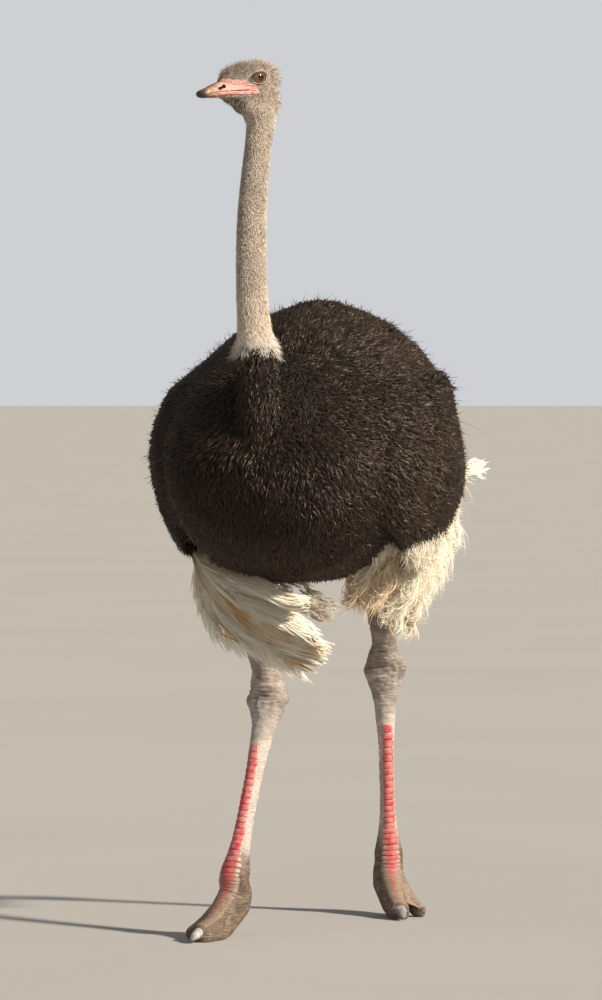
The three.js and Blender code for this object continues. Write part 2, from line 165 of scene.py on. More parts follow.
def solids_of(nodes):
    """Merged vertices, triangles and each triangle's node index, for several CAD nodes together."""
    points, triangles, owners, count = [], [], [], 0
    for index, name in enumerate(nodes):
        co, tris = arrays_of(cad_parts[name].data)
        merged, place = np.unique(np.round(co, 6), axis=0, return_inverse=True)
        tris = place.reshape(-1)[tris]
        points.append(merged)
        triangles.append(tris + count)
        owners.append(np.full(len(tris), index))
        count += len(merged)
    return np.vstack(points), np.vstack(triangles), np.concatenate(owners)


def corner_normals(points, triangles):
    a, b, c = (points[triangles[:, i]] for i in range(3))
    face = np.cross(b - a, c - a)
    total = np.zeros_like(points)
    for i in range(3):
        for axis in range(3):
            total[:, axis] += np.bincount(triangles[:, i], face[:, axis], len(points))
    return unit(total)


class Neighbours:
    """The points that share an edge with each point of a mesh."""

    def __init__(self, triangles, count):
        self.start = triangles.ravel()
        self.end = triangles[:, [1, 2, 0]].ravel()
        self.number = np.maximum(np.bincount(self.start, minlength=count), 1)

    def mean(self, values):
        """The mean of the values at each point's neighbours."""
        if values.ndim > 1:
            return np.stack([self.mean(column) for column in values.T], 1)
        return np.bincount(self.start, values[self.end], len(values)) / self.number


def relaxed(points, triangles, rounds, hold=None):
    """The points moved towards the middle of their neighbours and back out again, which takes facets off a
    closed mesh and keeps its size. hold (0 to 1) is how far each point stays put."""
    near = Neighbours(triangles, len(points))
    free = 1 if hold is None else (1 - hold)[:, None]
    points = points.copy()
    for _ in range(rounds):
        for amount in (SHRINK, SWELL):
            points += (near.mean(points) - points) * amount * free
    return points


def filled(points, triangles, rounds, share):
    """The points with hollows drawn out level with what lies round them where share is high. Nothing is
    drawn in."""
    triangles = triangles[(share[triangles] > 0.01).any(1)]
    chosen, triangles = np.unique(triangles, return_inverse=True)
    triangles = triangles.reshape(-1, 3)
    moved, share = points[chosen], share[chosen]
    near = Neighbours(triangles, len(moved))
    for step in range(rounds):
        if step % 10 == 0:
            normals = corner_normals(moved, triangles)
        out = ((near.mean(moved) - moved) * normals).sum(1)
        moved += normals * (np.maximum(out, 0) * share)[:, None]
    points = points.copy()
    points[chosen] = moved
    return points


def spread_out(values, triangles, rounds):
    """Values at the points, blurred over the mesh."""
    near = Neighbours(triangles, len(values))
    for _ in range(rounds):
        values = 0.4 * values + 0.6 * near.mean(values)
    return values


def grid_faces(rows, columns, closed=False):
    """Two triangles for each square of a grid of points. closed joins the last column to the first."""
    faces = []
    for low in range(0, (rows - 1) * columns, columns):
        high = low + columns
        for here in range(columns if closed else columns - 1):
            after = (here + 1) % columns
            faces += [(low + here, high + here, high + after), (low + here, high + after, low + after)]
    return np.array(faces)


def new_mesh(name, points, triangles, patches=None, values=None):
    """A mesh object from arrays. For each point, patches holds a UV place, and values holds named
    numbers."""
    mesh = bpy.data.meshes.new(name)
    mesh.vertices.add(len(points))
    mesh.vertices.foreach_set("co", np.asarray(points, np.float32).ravel())
    corners = np.asarray(triangles, np.int32).ravel()
    mesh.loops.add(len(corners))
    mesh.loops.foreach_set("vertex_index", corners)
    mesh.polygons.add(len(corners) // 3)
    mesh.polygons.foreach_set("loop_start", np.arange(0, len(corners), 3, dtype=np.int32))
    mesh.update(calc_edges=True)
    mesh.shade_smooth()
    if patches is not None:
        layer = mesh.uv_layers.new(name=BAKE_MAP)
        layer.uv.foreach_set("vector", np.asarray(patches, np.float32)[corners].ravel())
    for label, numbers in (values or {}).items():
        attribute = mesh.attributes.new(label, "FLOAT", "POINT")
        attribute.data.foreach_set("value", np.asarray(numbers, np.float32))
    made = bpy.data.objects.new(name, mesh)
    bpy.context.scene.collection.objects.link(made)
    return made


def through_modifier(points, triangles, kind, weights=None, **settings):
    """The arrays of a mesh after one modifier."""
    holder = new_mesh("holder", points, triangles)
    if weights is not None:
        group = holder.vertex_groups.new(name="weights")
        for level in np.unique(weights):
            group.add(np.nonzero(weights == level)[0].tolist(), float(level), "REPLACE")
    modifier = holder.modifiers.new("change", kind)
    for label, value in settings.items():
        setattr(modifier, label, value)
    bpy.context.view_layer.update()
    changed = holder.evaluated_get(bpy.context.evaluated_depsgraph_get()).to_mesh()
    arrays = arrays_of(changed)
    mesh = holder.data
    bpy.data.objects.remove(holder)
    bpy.data.meshes.remove(mesh)
    return arrays


def piece(made, finish, slot, *replaced):
    """Gives a finished object its material and body, and hides the CAD nodes that it stands for. Its slot is
    not used.
    """
    made.data.materials.append(finish.material)
    if replaced:
        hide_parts(*replaced)
    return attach(made, BODY)


def within_box(points):
    """Points kept inside the box of the solids."""
    return np.clip(points, *CAD_BOX)


# ---- strands
def grow(roots, start, lie, length, rings, bend, axis=None, curl=None):
    """Centre lines that leave each root along start, swing towards lie, and curl more and more about axis."""
    step = length[:, None] / (rings - 1)
    heading = unit(start)
    line = [roots]
    for ring in range(1, rings):
        line.append(line[-1] + heading * step)
        heading = heading + (lie - heading) * bend
        if curl is not None:
            heading = heading + np.cross(axis, heading) * (curl * ring / (rings - 1))[:, None]
        heading = unit(heading)
    return np.stack(line, axis=1)


def ribbons(lines, facing, half_widths):
    """Flat pointed strands along the lines, turned to face the given way: vertices, triangles, and each
    vertex's strand and place along it."""
    count, rings = lines.shape[:2]
    travel = unit(np.gradient(lines, axis=1))
    across = unit(np.cross(travel, facing[:, None, :]))
    offset = across * half_widths[..., None]
    pairs = np.stack([lines - offset, lines + offset], axis=2)[:, :-1].reshape(count, -1, 3)
    points = np.concatenate([pairs, lines[:, -1:]], axis=1)
    template = []
    for ring in range(rings - 2):
        a = 2 * ring
        template += [(a, a + 1, a + 3), (a, a + 3, a + 2)]
    last = 2 * (rings - 2)
    template.append((last, last + 1, last + 2))
    each = 2 * rings - 1
    triangles = (np.array(template)[None] + (np.arange(count) * each)[:, None, None]).reshape(-1, 3)
    strand = np.repeat(np.arange(count), each)
    place = np.tile(np.append(np.repeat(np.arange(rings - 1), 2), rings - 1) / (rings - 1), count)
    side = np.tile(np.append(np.tile([-0.5, 0.5], rings - 1), 0.0), count)
    return points.reshape(-1, 3), triangles, strand, place, side


def taper(count, rings, half_width, shape):
    """Half widths down the strands: shape is the share at each ring."""
    share = np.interp(np.linspace(0, 1, rings), np.linspace(0, 1, len(shape)), shape)
    return np.broadcast_to(np.asarray(half_width).reshape(-1, 1), (count, 1)) * share[None]


def strand_piece(name, lines, facing, half_widths, root_uv, values, finish, slot, *replaced):
    """One piece of many strands. values holds named numbers for each strand."""
    points, triangles, strand, place, side = ribbons(lines, facing, half_widths)
    patches = root_uv[strand] + np.stack([side, place - 0.5], 1) * PATCH * 0.9
    values = {"place": place, **{label: numbers[strand] for label, numbers in values.items()}}
    piece(new_mesh(name, within_box(points), triangles, patches, values), finish, slot, *replaced)


# ---- the skin as a surface to grow on
class Surface:
    """The finished skin: its points, normals, unwrap and a tree for finding the nearest place."""

    def __init__(self, made):
        mesh = made.data
        self.points, self.triangles = arrays_of(mesh)
        self.normals = corner_normals(self.points, self.triangles)
        corners = np.empty(len(mesh.loop_triangles) * 3, np.int32)
        mesh.loop_triangles.foreach_get("loops", corners)
        uv = np.empty(len(mesh.loops) * 2, np.float32)
        mesh.uv_layers[BAKE_MAP].uv.foreach_get("vector", uv)
        self.uv = uv.reshape(-1, 2)[corners].reshape(-1, 3, 2)
        a, b, c = (self.points[self.triangles[:, i]] for i in range(3))
        self.area = 0.5 * np.linalg.norm(np.cross(b - a, c - a), axis=1)
        self.tree = BVHTree.FromPolygons(self.points.tolist(), self.triangles.tolist())
        self.zones = {}
        for label in ("coat", "down", "face"):
            values = np.empty(len(mesh.vertices), np.float32)
            mesh.attributes[label].data.foreach_get("value", values)
            self.zones[label] = values

    def scatter(self, spacing, share, rng):
        """Roots over the skin about spacing apart where share (at the points, 0 to 1) is high."""
        weight = self.area * share[self.triangles].mean(1)
        count = int(2.6 * weight.sum() / spacing**2)
        picked = rng.choice(len(weight), count, p=weight / weight.sum())
        r1, r2 = np.sqrt(rng.random(count)), rng.random(count)
        bary = np.stack([1 - r1, r1 * (1 - r2), r1 * r2], 1)
        roots = (self.points[self.triangles[picked]] * bary[..., None]).sum(1)
        cells = np.floor(roots / spacing).astype(np.int64) + 4096
        keys = (cells[:, 0] * 8192 + cells[:, 1]) * 8192 + cells[:, 2]
        _, first = np.unique(keys, return_index=True)
        first = rng.permutation(first)
        normals = unit((self.normals[self.triangles[picked[first]]] * bary[first][..., None]).sum(1))
        uv = (self.uv[picked[first]] * bary[first][..., None]).sum(1)
        return roots[first], normals, uv

    def nearest(self, points):
        """The skin's nearest place, normal and unwrap place for each point."""
        places, normals, uv = [], [], []
        for point in points:
            place, normal, index, _ = self.tree.find_nearest(point)
            places.append(place)
            normals.append(normal)
            uv.append(self.uv[index].mean(0))
        return np.array(places), np.array(normals), np.array(uv)


class Holder:
    """Keeps the finished skin, which all the feathers grow on."""

    skin = None


class Bed:
    """The roots of one kind of feather. out leaves the skin at each root, flow is the lie of the feathers
    there, and across lies at right angles to both."""

    def __init__(self, spacing, share, rng):
        self.roots, self.out, self.uv = Holder.skin.scatter(spacing, share, rng)
        self.count, self.rng = len(self.roots), rng

    def lay(self, flow):
        self.flow = flow
        self.across = np.cross(self.out, flow)

    def hang(self):
        self.lay(along_surface(np.tile(-UP, (self.count, 1)), self.out))

    def normal(self, spread, middle=0.0):
        return self.rng.normal(middle, spread, (self.count, 1))

    def uniform(self, low, high):
        return self.rng.uniform(low, high, (self.count, 1))

    def dress(self, name, lines, facing, widths, values, finish, slot):
        strand_piece(name, lines, facing, widths, self.uv, values, finish, slot)


# ---- finishes
class Socket:
    """One output of a node, with arithmetic that adds Math nodes."""

    def __init__(self, finish, output):
        self.finish, self.output = finish, output

    def maths(self, operation, *values):
        return self.finish.node("Math", {"operation": operation}, dict(enumerate(values)))

    def __add__(self, other):
        return self.maths("ADD", self, other)

    def __radd__(self, other):
        return self.maths("ADD", other, self)

    def __sub__(self, other):
        return self.maths("SUBTRACT", self, other)

    def __rsub__(self, other):
        return self.maths("SUBTRACT", other, self)

    def __mul__(self, other):
        return self.maths("MULTIPLY", self, other)

    def __rmul__(self, other):
        return self.maths("MULTIPLY", other, self)

    def clamped(self, low, high):
        """0 at low and 1 at high."""
        return self.finish.node("MapRange", {"clamp": True}, {0: self, 1: low, 2: high, 3: 0.0, 4: 1.0})


class Finish:
    """One material on the Principled shader."""

    def __init__(self, name, **constants):
        self.material = bpy.data.materials.new(name)
        self.material.use_nodes = True
        self.tree = self.material.node_tree
        self.shader = self.tree.nodes["Principled BSDF"]
        for label, value in constants.items():
            self.set(label.replace("_", " ").title().replace("Ior", "IOR"), value)

    def node(self, kind, settings=None, sockets=None, output=0):
        made = self.tree.nodes.new("ShaderNode" + kind)
        for label, value in (settings or {}).items():
            setattr(made, label, value)
        for key, value in (sockets or {}).items():
            self.join(value, made.inputs[key])
        return Socket(self, made.outputs[output])

    def join(self, value, entry):
        if isinstance(value, Socket):
            self.tree.links.new(value.output, entry)
        elif entry.type == "RGBA" and len(value) == 3:
            entry.default_value = (*value, 1.0)
        else:
            entry.default_value = value

    def set(self, label, value):
        self.join(value, self.shader.inputs[label])

    def place(self):
        return self.node("TexCoord", output=3)

    def noise(self, scale, detail=3.0, roughness=0.55, vector=None):
        where = vector or self.place()
        return self.node(
            "TexNoise", None, {"Vector": where, "Scale": scale, "Detail": detail, "Roughness": roughness}
        )

    def cell_edges(self, scale, vector):
        return self.node("TexVoronoi", {"feature": "DISTANCE_TO_EDGE"}, {"Vector": vector, "Scale": scale})

    def stretched(self, scale):
        return self.node("Mapping", None, {"Vector": self.place(), "Scale": scale})

    def height(self):
        return self.node("SeparateXYZ", None, {0: self.place()}, 2)

    def value(self, label):
        return self.node("Attribute", {"attribute_name": label}, output=2)

    def mix(self, share, first, second):
        return self.node("Mix", {"data_type": "RGBA"}, {0: share, 6: first, 7: second}, 2)

    def bump(self, height, strength, distance):
        made = self.node("Bump", None, {"Height": height, "Strength": strength, "Distance": distance})
        self.set("Normal", made)

    def with_folds(self, pink):
        """Pink skin with its folds along the mouth: paler crests, a painted highlight, and deep red between
        them, partly the skin's own red and partly painted shade in the grooves.
        """
        fold = self.value("fold")
        shown = self.mix(fold.clamped(0.5, 0.95) * 0.7, pink, (0.82, 0.55, 0.47))
        return self.mix((1 - fold).clamped(0.55, 1.0) * 0.75, shown, (0.50, 0.085, 0.075))


def shaded(tint, share):
    """A colour made darker or lighter."""
    return tuple(min(1.0, part * share) for part in tint)


# ---- sizes and colours
def length(name, description, default):
    return bpy.props.FloatProperty(
        name=name, description=description, default=default, unit="LENGTH", subtype="DISTANCE", precision=4
    )


def colour(name, description, default):
    return bpy.props.FloatVectorProperty(
        name=name, description=description, default=default, subtype="COLOR", size=3, min=0.0, max=1.0
    )


class OstrichSizes(bpy.types.PropertyGroup):
    voxel: length("Skin step", "Distance between points of the skin before the trunk is thinned", 0.0034)
    coat_depth: length("Coat depth", "How deep the black feathers stand over the skin", 0.0105)
    neck_coat_depth: length(
        "Neck coat depth", "How deep the black feathers stand on the foot of the neck", 0.0065
    )
    down_depth: length("Down depth", "How deep the down stands on the neck", 0.0035)
    head_depth: length("Head hair depth", "How deep the hair-like down stands on the crown", 0.004)
    lock_length: length("Lock length", "Length of a black lock", 0.0225)
    lock_spacing: length("Lock spacing", "Distance between black locks", 0.0048)
    lock_width: length("Lock width", "Width of a black lock at its widest", 0.0024)
    down_length: length("Down length", "Length of a tuft of neck down", 0.0052)
    down_spacing: length("Down spacing", "Distance between tufts of neck down", 0.0019)
    collar_height: length("Collar height", "Height of the white collar's roots over the floor", 1.432)


class OstrichColours(bpy.types.PropertyGroup):
    black: colour("Black", "Black feathers at their roots", (0.0100, 0.0062, 0.0045))
    # Brown tips of the black feathers: partly their own brown and partly painted glints, where light would
    # catch the curls.
    tip_brown_and_glint: colour("Brown", "Sunburnt tips of the black feathers", (0.150, 0.092, 0.054))
    down: colour("Down", "Neck down", (0.66, 0.56, 0.45))
    # Darker down: the down's own darker tips, and painted shade at the roots of the tufts and in the gaps
    # between them.
    down_dark_and_shade: colour("Dark down", "Gaps and darker tips in the neck down", (0.12, 0.085, 0.062))
    cream: colour("Cream", "White plumes", (0.90, 0.815, 0.67))
    ochre: colour("Ochre", "Stained streaks in the white plumes", (0.68, 0.42, 0.16))
    leg: colour("Leg", "Bare skin of the legs", (0.70, 0.62, 0.54))
    scute: colour("Scute", "Red plates down the front of the shanks", (0.50, 0.045, 0.055))
    face: colour("Face", "Bare skin from the bill to the eye", (0.58, 0.25, 0.215))


class OstrichStudio(bpy.types.PropertyGroup):
    distance: length("Camera distance", "From the camera to the bird's upright axis", 14.0)
    height: length("Camera height", "Height of the lens over the floor", 1.323)
    azimuth: bpy.props.FloatProperty(
        name="Camera azimuth", description="How far round to the bird's left the camera stands",
        default=math.radians(15), subtype="ANGLE",
    )
    floor: colour("Floor", "Colour of the studio floor", (0.42, 0.40, 0.375))


def sizes():
    return bpy.context.scene.ostrich_sizes


def colours():
    return bpy.context.scene.ostrich_colours


# ---- the head's own frame
HEAD_CENTRE_MM = np.array([-18.5, -440.0, 2024.0])  # midway between the eyes, before the part is centred
HEAD_DIP = math.radians(8)
EYE_RADIUS = 0.0205
EYE_SQUASH = 0.92


def middle_of(node):
    low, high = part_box(node)
    return np.array((low + high) / 2)


EYES = {side: middle_of(f"eye_{side}") for side in SIDES}
HEAD_AT = (EYES["left"] + EYES["right"]) / 2
SHIFT = HEAD_AT - HEAD_CENTRE_MM * MM
HEAD_TURN = math.atan2(*(EYES["left"] - EYES["right"])[[1, 0]])
HEAD = np.array(Matrix.Rotation(HEAD_TURN, 3, "Z") @ Matrix.Rotation(HEAD_DIP, 3, "X"))


def to_head(points):
    """Millimetres in the head's frame: x to the bird's left, -y to the bill's tip, z up."""
    return (points - HEAD_AT) @ HEAD / MM


def from_head(points):
    return np.asarray(points) * MM @ HEAD.T + HEAD_AT


def row(points_mm):
    """Places in the solids' own millimetres, in this frame."""
    return np.asarray(points_mm, float) * MM + SHIFT


# Lines on the side of the head, in its own millimetres: (y, z), or (x, y, z) where they have depth.
FACE_EDGE = [
    (-104, 12), (-87, 10), (-74, 8), (-60, 3), (-48, 0), (-37, 1), (-29, 2), (-22, -8), (-15, -16),
    (-7, -22), (-2, -28), (-5, -34), (-24, -35), (-45, -33), (-70, -31), (-90, -31), (-104, -28),
]
GAPE = [(18, -132, -20.5), (22, -101, -20), (28, -66, -22), (31, -32, -24.6), (34, -8, -30)]
NOSTRIL = [(20, -100, -13.0), (20, -95, -11.6), (20, -89, -9.2)]
# Y and z of the line between the bill's halves.
MOUTH_LINE = ([-132, -101, -66, -32], [-20.5, -20, -22, -24.6])
FOLDS = (9.5, 5.4, 1.9, -3.0, -7.0)  # heights of the pink ridges over the mouth's line
FOLD_HALF = 1.25
NO_FOLD = 0.45  # the folds' tone away from them
BILL_REAR = (-70, -50)  # where the horn sinks into the skin
EYE_OPEN = (16.8, 11.2, 13.0)  # half length, half height above and half height below of the eye's opening
EYE_CORNER = 6.5  # how far the front corner is drawn out
BLACK_TO = 1.405  # height on the neck where the black feathers end
NECK_DOWN = (1.39, 1.96)  # from and to which height the neck's down grows
HEAD_DOWN_FROM = 1.945
COLLAR_Y = -0.605  # where the neck's middle passes through the collar
TRUNK_KEPT = 0.10  # share of the trunk's triangles that the skin keeps


def inside_outline(y, z, outline):
    """Signed distance to a closed outline in the y, z plane, positive inside."""
    outline = np.array(outline, float)
    inside = np.zeros(len(y), bool)
    far = np.full(len(y), 1e9)
    for (y0, z0), (y1, z1) in zip(outline, np.roll(outline, -1, axis=0)):
        crosses = (z0 > z) != (z1 > z)
        at = np.where(crosses, y0 + (z - z0) / np.where(z1 == z0, 1e-9, z1 - z0) * (y1 - y0), -1e9)
        inside ^= crosses & (y < at)
        span = np.array([y1 - y0, z1 - z0])
        t = np.clip(((y - y0) * span[0] + (z - z0) * span[1]) / (span @ span), 0, 1)
        far = np.minimum(far, np.hypot(y - y0 - t * span[0], z - z0 - t * span[1]))
    return np.where(inside, far, -far)


def lid_reach(y, z):
    """How far out from the eye's opening a place is: 1 on its edge, more outside."""
    front = np.clip(-y / EYE_OPEN[0], 0, 1)
    half = EYE_OPEN[0] + EYE_CORNER * front**3 * np.exp(-((z + 2) ** 2) / 30)
    return np.hypot(y / half, z / np.where(z > 0, EYE_OPEN[1], EYE_OPEN[2]))


def flat_side(local):
    """Places in the head's frame, brought to the plane that the nostril's lines lie in."""
    return local * [0, 1, 1] + [NOSTRIL[0][0], 0, 0]


def fold_share(local):
    """1 on the crests of the folds along the mouth, 0 between them, and how strong they are at each place."""
    place = local.copy()
    place[:, 0] = np.abs(place[:, 0])
    wobble = (lumps(place * [1, 0.35, 1], 9, 71) - 0.5) * 2.4
    crest = np.zeros(len(place))
    for offset in FOLDS:
        spread = 1 + 0.35 * ease(place[:, 1], -60, -10)
        far, along = to_polyline(place - [0, 0, offset], GAPE)
        level = np.interp(place[:, 1], [point[1] for point in GAPE], [point[2] for point in GAPE])
        away = place[:, 2] + wobble - level - offset * spread
        near = np.where(along < 0.995, np.abs(away), far)
        crest = np.maximum(crest, np.exp(-((near / FOLD_HALF) ** 2)))
    strength = ease(place[:, 1], -104, -78) * (1 - ease(place[:, 1], -16, -3))
    strength = strength * (1 - ease(place[:, 2], -14, -6)) * ease(place[:, 0], 8, 13)
    strength = strength * (0.45 + 0.55 * lumps(place, 14, 74))
    return crest, strength


def fold_tone(local):
    """The folds as the finishes read them: 1 on a crest, 0 between two, and NO_FOLD away from them."""
    crest, strength = fold_share(local)
    return NO_FOLD + (crest - NO_FOLD) * strength


# ---- legs and feet
LEGS = {
    "left": {"hock": (84, 415, 615), "ball": (82, 467, 131), "turn": math.radians(25)},
    "right": {"hock": (-93, -18, 566), "ball": (-126, -210, 139), "turn": math.radians(-16)},
}
THROAT_LINE = [(0, -88, -33), (0, -72, -38.5), (0, -54, -50), (0, -34, -67)]
# The loose skin between the jaws, at shares.
THROAT_RADII = ([0, 0.33, 0.66, 1], [0.0040, 0.0060, 0.0095, 0.0125])
SHOULDER = (0.19, 1.25)  # how far out and how high the filling under the top of each wing lies
SHOULDER_RADII = ([0, 0.25, 0.75, 1], [0.105, 0.124, 0.125, 0.11])
# Down the joint, at shares of its length.
ANKLE_RADII = ([0, 0.25, 0.5, 0.75, 1], [0.023, 0.028, 0.035, 0.037, 0.032])
OUTER_TOE_LINE = [(12, 4, 96), (24, -18, 79), (38, -42, 53), (51, -64, 31), (62, -86, 18), (69, -102, 13)]
CHAIN_BALLS = 26  # balls in each chain that fills the skin out


def facing_way(side):
    """The way that a foot points."""
    turn = LEGS[side]["turn"]
    return np.array([math.sin(turn), -math.cos(turn), 0.0])


def in_foot(side, points):
    """Places in a foot's own millimetres, in this frame. The outer toe is on the bird's outer side."""
    turn = LEGS[side]["turn"]
    x, y, z = np.asarray(points, float).T
    x = x if side == "left" else -x
    ball = LEGS[side]["ball"]
    across = x * math.cos(turn) - y * math.sin(turn) + ball[0]
    along = x * math.sin(turn) + y * math.cos(turn) + ball[1]
    return row(np.stack([across, along, z], 1))


# ---- skin
def skin_finish():
    paint = colours()
    made = Finish("skin", roughness=0.62)
    coat, down, face, foot = (made.value(label) for label in ("coat", "down", "face", "foot"))
    rough_patch = made.noise(15, 4).clamped(0.35, 0.68)
    scales = made.cell_edges(430, made.stretched((1, 1, 1.5))).clamped(0.0, 0.28)
    lines = made.noise(62, 4, 0.6, made.stretched((1, 1, 4.5))).clamped(0.34, 0.60)
    grain = made.noise(520, 2)
    bare = made.mix(rough_patch, shaded(paint.leg, 0.66), shaded(paint.leg, 1.24))
    # Painted shade in the wrinkles and in the grooves between the small scales.
    bare = made.mix((1 - lines) * 0.44, bare, (0.19, 0.14, 0.115))
    bare = made.mix((1 - scales) * 0.30, bare, (0.15, 0.11, 0.095))
    bare = made.mix(grain.clamped(0.56, 0.70) * 0.45, bare, (0.11, 0.085, 0.075))
    # Painted shadow of the plumes and body on the upper legs: darker in blotches from just under the hocks
    # upwards, and darker still above them.
    high = made.height()
    blotchy = made.noise(34, 4, 0.6, made.stretched((1, 1, 1.8))).clamped(0.40, 0.62)
    bare = made.mix(high.clamped(0.47, 0.58) * (0.30 + 0.45 * blotchy), bare, (0.155, 0.115, 0.098))
    bare = made.mix(high.clamped(0.62, 0.74) * 0.55, bare, (0.12, 0.085, 0.062))
    # The feet: dust colours, darkened as painted shade in the rings of creases and between the scales.
    dust_and_painted_light = made.mix(made.noise(45, 5).clamped(0.35, 0.7), (0.135, 0.088, 0.058), (0.34, 0.245, 0.16))
    creases = made.noise(48, 3, 0.5, made.stretched((1, 1, 5.5))).clamped(0.36, 0.55)
    dust_and_painted_light = made.mix((1 - scales) * 0.42, dust_and_painted_light, (0.10, 0.072, 0.055))
    dust_and_painted_light = made.mix((1 - creases) * 0.62, dust_and_painted_light, (0.055, 0.038, 0.028))
    bare = made.mix(foot, bare, dust_and_painted_light)
    bare = made.mix(made.value("shade") * 0.85, bare, (0.060, 0.042, 0.034))
    # Skin under the down: partly the down's deeper layers and partly painted shade in the gaps between tufts.
    fuzz = made.mix(made.noise(230, 3).clamped(0.42, 0.62), paint.down_dark_and_shade, shaded(paint.down, 0.72))
    veins = made.noise(170, 4, vector=made.stretched((1, 1, 2.2))).clamped(0.35, 0.68)
    cheek = made.mix(veins, shaded(paint.face, 0.92), (0.70, 0.42, 0.36))
    cheek = made.with_folds(cheek)
    dark = made.mix(made.noise(90, 3).clamped(0.3, 0.7), paint.black, (0.020, 0.0145, 0.0115))
    shown = made.mix(down, bare, fuzz)
    shown = made.mix(face, shown, cheek)
    shown = made.mix(coat, shown, dark)
    # Painted shade: dark in the slit between the bill's halves and in the gap between each eye and its lids.
    made.set("Base Color", made.mix(made.value("gap_shade"), shown, (0.06, 0.018, 0.015)))
    made.set("Roughness", 0.74 - 0.24 * face)
    relief = (scales * 0.35 + lines * 0.9) * (1 - face) + veins * face * 0.35 + grain * 0.25
    made.bump(relief + creases * foot * 1.6, 0.7, 0.0013)
    return made


def zone_labels(points):
    """The name of the group of solids nearest to each point."""
    groups = {
        "coat": TRUNK_NODES, "neck_base": ["neck_base"], "neck": NECK_NODES, "head": ["head"],
        "leg": LEG_NODES, "toe": TOE_NODES, "claw": CLAW_NODES, "bill": BILL_NODES, "eye": EYE_NODES,
    }
    nodes = [node for members in groups.values() for node in members]
    owner_group = np.concatenate([[index] * len(members) for index, members in enumerate(groups.values())])
    co, tris, owners = solids_of(nodes)
    tree = BVHTree.FromPolygons(co.tolist(), tris.tolist())
    nearest = np.array([tree.find_nearest(point)[2] for point in points.tolist()])
    names = np.array(list(groups))
    return names[owner_group[owners[nearest]].astype(int)]


def eye_side(local):
    return np.abs(local[:, 0]) > 20


def face_share(points):
    """1 on the bare pink skin from the bill to the eye and the corner of the mouth."""
    local = to_head(points)
    x, y, z = local.T
    ragged = (lumps(local, 3.2, 72) - 0.5) * 5 + (lumps(local, 8, 73) - 0.5) * 4
    share = ease(inside_outline(y, z, FACE_EDGE) + ragged, -1.0, 2.6)
    return share * (y > -112) * (y < 12) * (np.abs(x) > 9)


def lid_share(points):
    """1 on the bare skin round each eye."""
    local = to_head(points)
    _, y, z = local.T
    reach = lid_reach(y, z)
    return (1 - ease(reach, 1.22, 1.36)) * eye_side(local) * (np.linalg.norm(local, axis=1) < 60)


def finer(points, triangles, chosen):
    """The mesh with every edge between chosen points halved."""
    mesh = bpy.data.meshes.new("finer")
    mesh.from_pydata(points.tolist(), [], triangles.tolist())
    form = bmesh.new()
    form.from_mesh(mesh)
    form.verts.ensure_lookup_table()
    edges = [e for e in form.edges if chosen[e.verts[0].index] and chosen[e.verts[1].index]]
    bmesh.ops.subdivide_edges(form, edges=edges, cuts=1, use_grid_fill=True, smooth=0.0)
    bmesh.ops.triangulate(form, faces=form.faces[:])
    form.to_mesh(mesh)
    form.free()
    arrays = arrays_of(mesh)
    bpy.data.meshes.remove(mesh)
    return arrays


def head_details(points, face):
    """How far out the skin of the head moves: the folds along the mouth and the ridge over the eye."""
    local = to_head(points)
    _, y, z = local.T
    rise = np.zeros(len(points))
    near = np.linalg.norm(local - [0, -50, -10], axis=1) < 90
    crest, strength = fold_share(local[near])
    rise[near] = (crest * 1.5 - 0.5) * strength
    brow = np.exp(-(((y + 6) / 20) ** 2) - ((z - 17) / 6) ** 2) * eye_side(local)
    rise += brow * 2.2 * (np.linalg.norm(local, axis=1) < 60)
    rise += face * (lumps(points, 0.005, 4) - 0.5) * 0.9
    return rise * MM


HOCK_KNOBS = (
    # turn from the front (degrees), height over the hock, how high the knob stands (mm), half its size
    (66, -0.004, 6.4, 0.019), (-62, -0.012, 5.8, 0.017), (22, 0.018, 3.8, 0.015), (-20, -0.026, 3.0, 0.013),
    (150, 0.012, 3.0, 0.030),
)


def leg_details(points, normals, leg):
    """How far out the skin of the legs moves, and the painted shade in its creases: knobs and folds at the
    hock, rings round the ankle, and small folds all over."""
    above = ease(points[:, 2], 0.16, 0.24)
    rise = leg * above * (lumps(points * [1, 1, 2.6], 0.016, 5) - 0.5) * 0.0020
    shade = np.zeros(len(points))
    for side in SIDES:
        hock, ball = row(LEGS[side]["hock"]), row(LEGS[side]["ball"])
        away = points - hock
        over = away[:, 2]
        here = np.linalg.norm(away[:, :2], axis=1) < 0.1
        near = leg * above * bell(over, 0, 0.058) * here
        front = facing_way(side)
        across = np.cross(UP, front)
        for turn, place, high, half in HOCK_KNOBS:
            out = front * math.cos(math.radians(turn)) + across * math.sin(math.radians(turn))
            facing = np.clip(normals @ out, 0, 1) ** 3
            rise += near * facing * bell(over, place, half) * high * MM
        waist = bell(over, 0.062, 0.024) * 3.6 + bell(over, -0.062, 0.02) * 1.8
        rise -= leg * waist * here * MM
        fold = np.sin(over * 640 + lumps(points, 0.030, 8) * 6 + lumps(points, 0.009, 13) * 3)
        rise += near * (fold - 0.2) * 0.0005
        rise += near * (lumps(points * [1, 1, 1.6], 0.010, 9) - 0.5) * 0.0044
        # Painted shade in the folds of the hock, in patches.
        dark = ease(-fold, 0.35, 0.95) * ease(lumps(points, 0.022, 10), 0.40, 0.65)
        shade = np.maximum(shade, near * dark * 0.75)
        ankle = leg * np.exp(-(np.linalg.norm((points - ball) * [1, 1, 0.75], axis=1) / 0.07) ** 4)
        ring = np.sin(points @ (UP * 0.8 - front * 0.6) * 800 + lumps(points, 0.022, 12) * 7)
        rise += ankle * ring * 0.0010
        # Painted shade in the rings round the ankle.
        dark = ease(-ring, 0.3, 0.95) * ease(lumps(points, 0.02, 15), 0.3, 0.55)
        shade = np.maximum(shade, ankle * dark * 0.8)
    return rise, shade


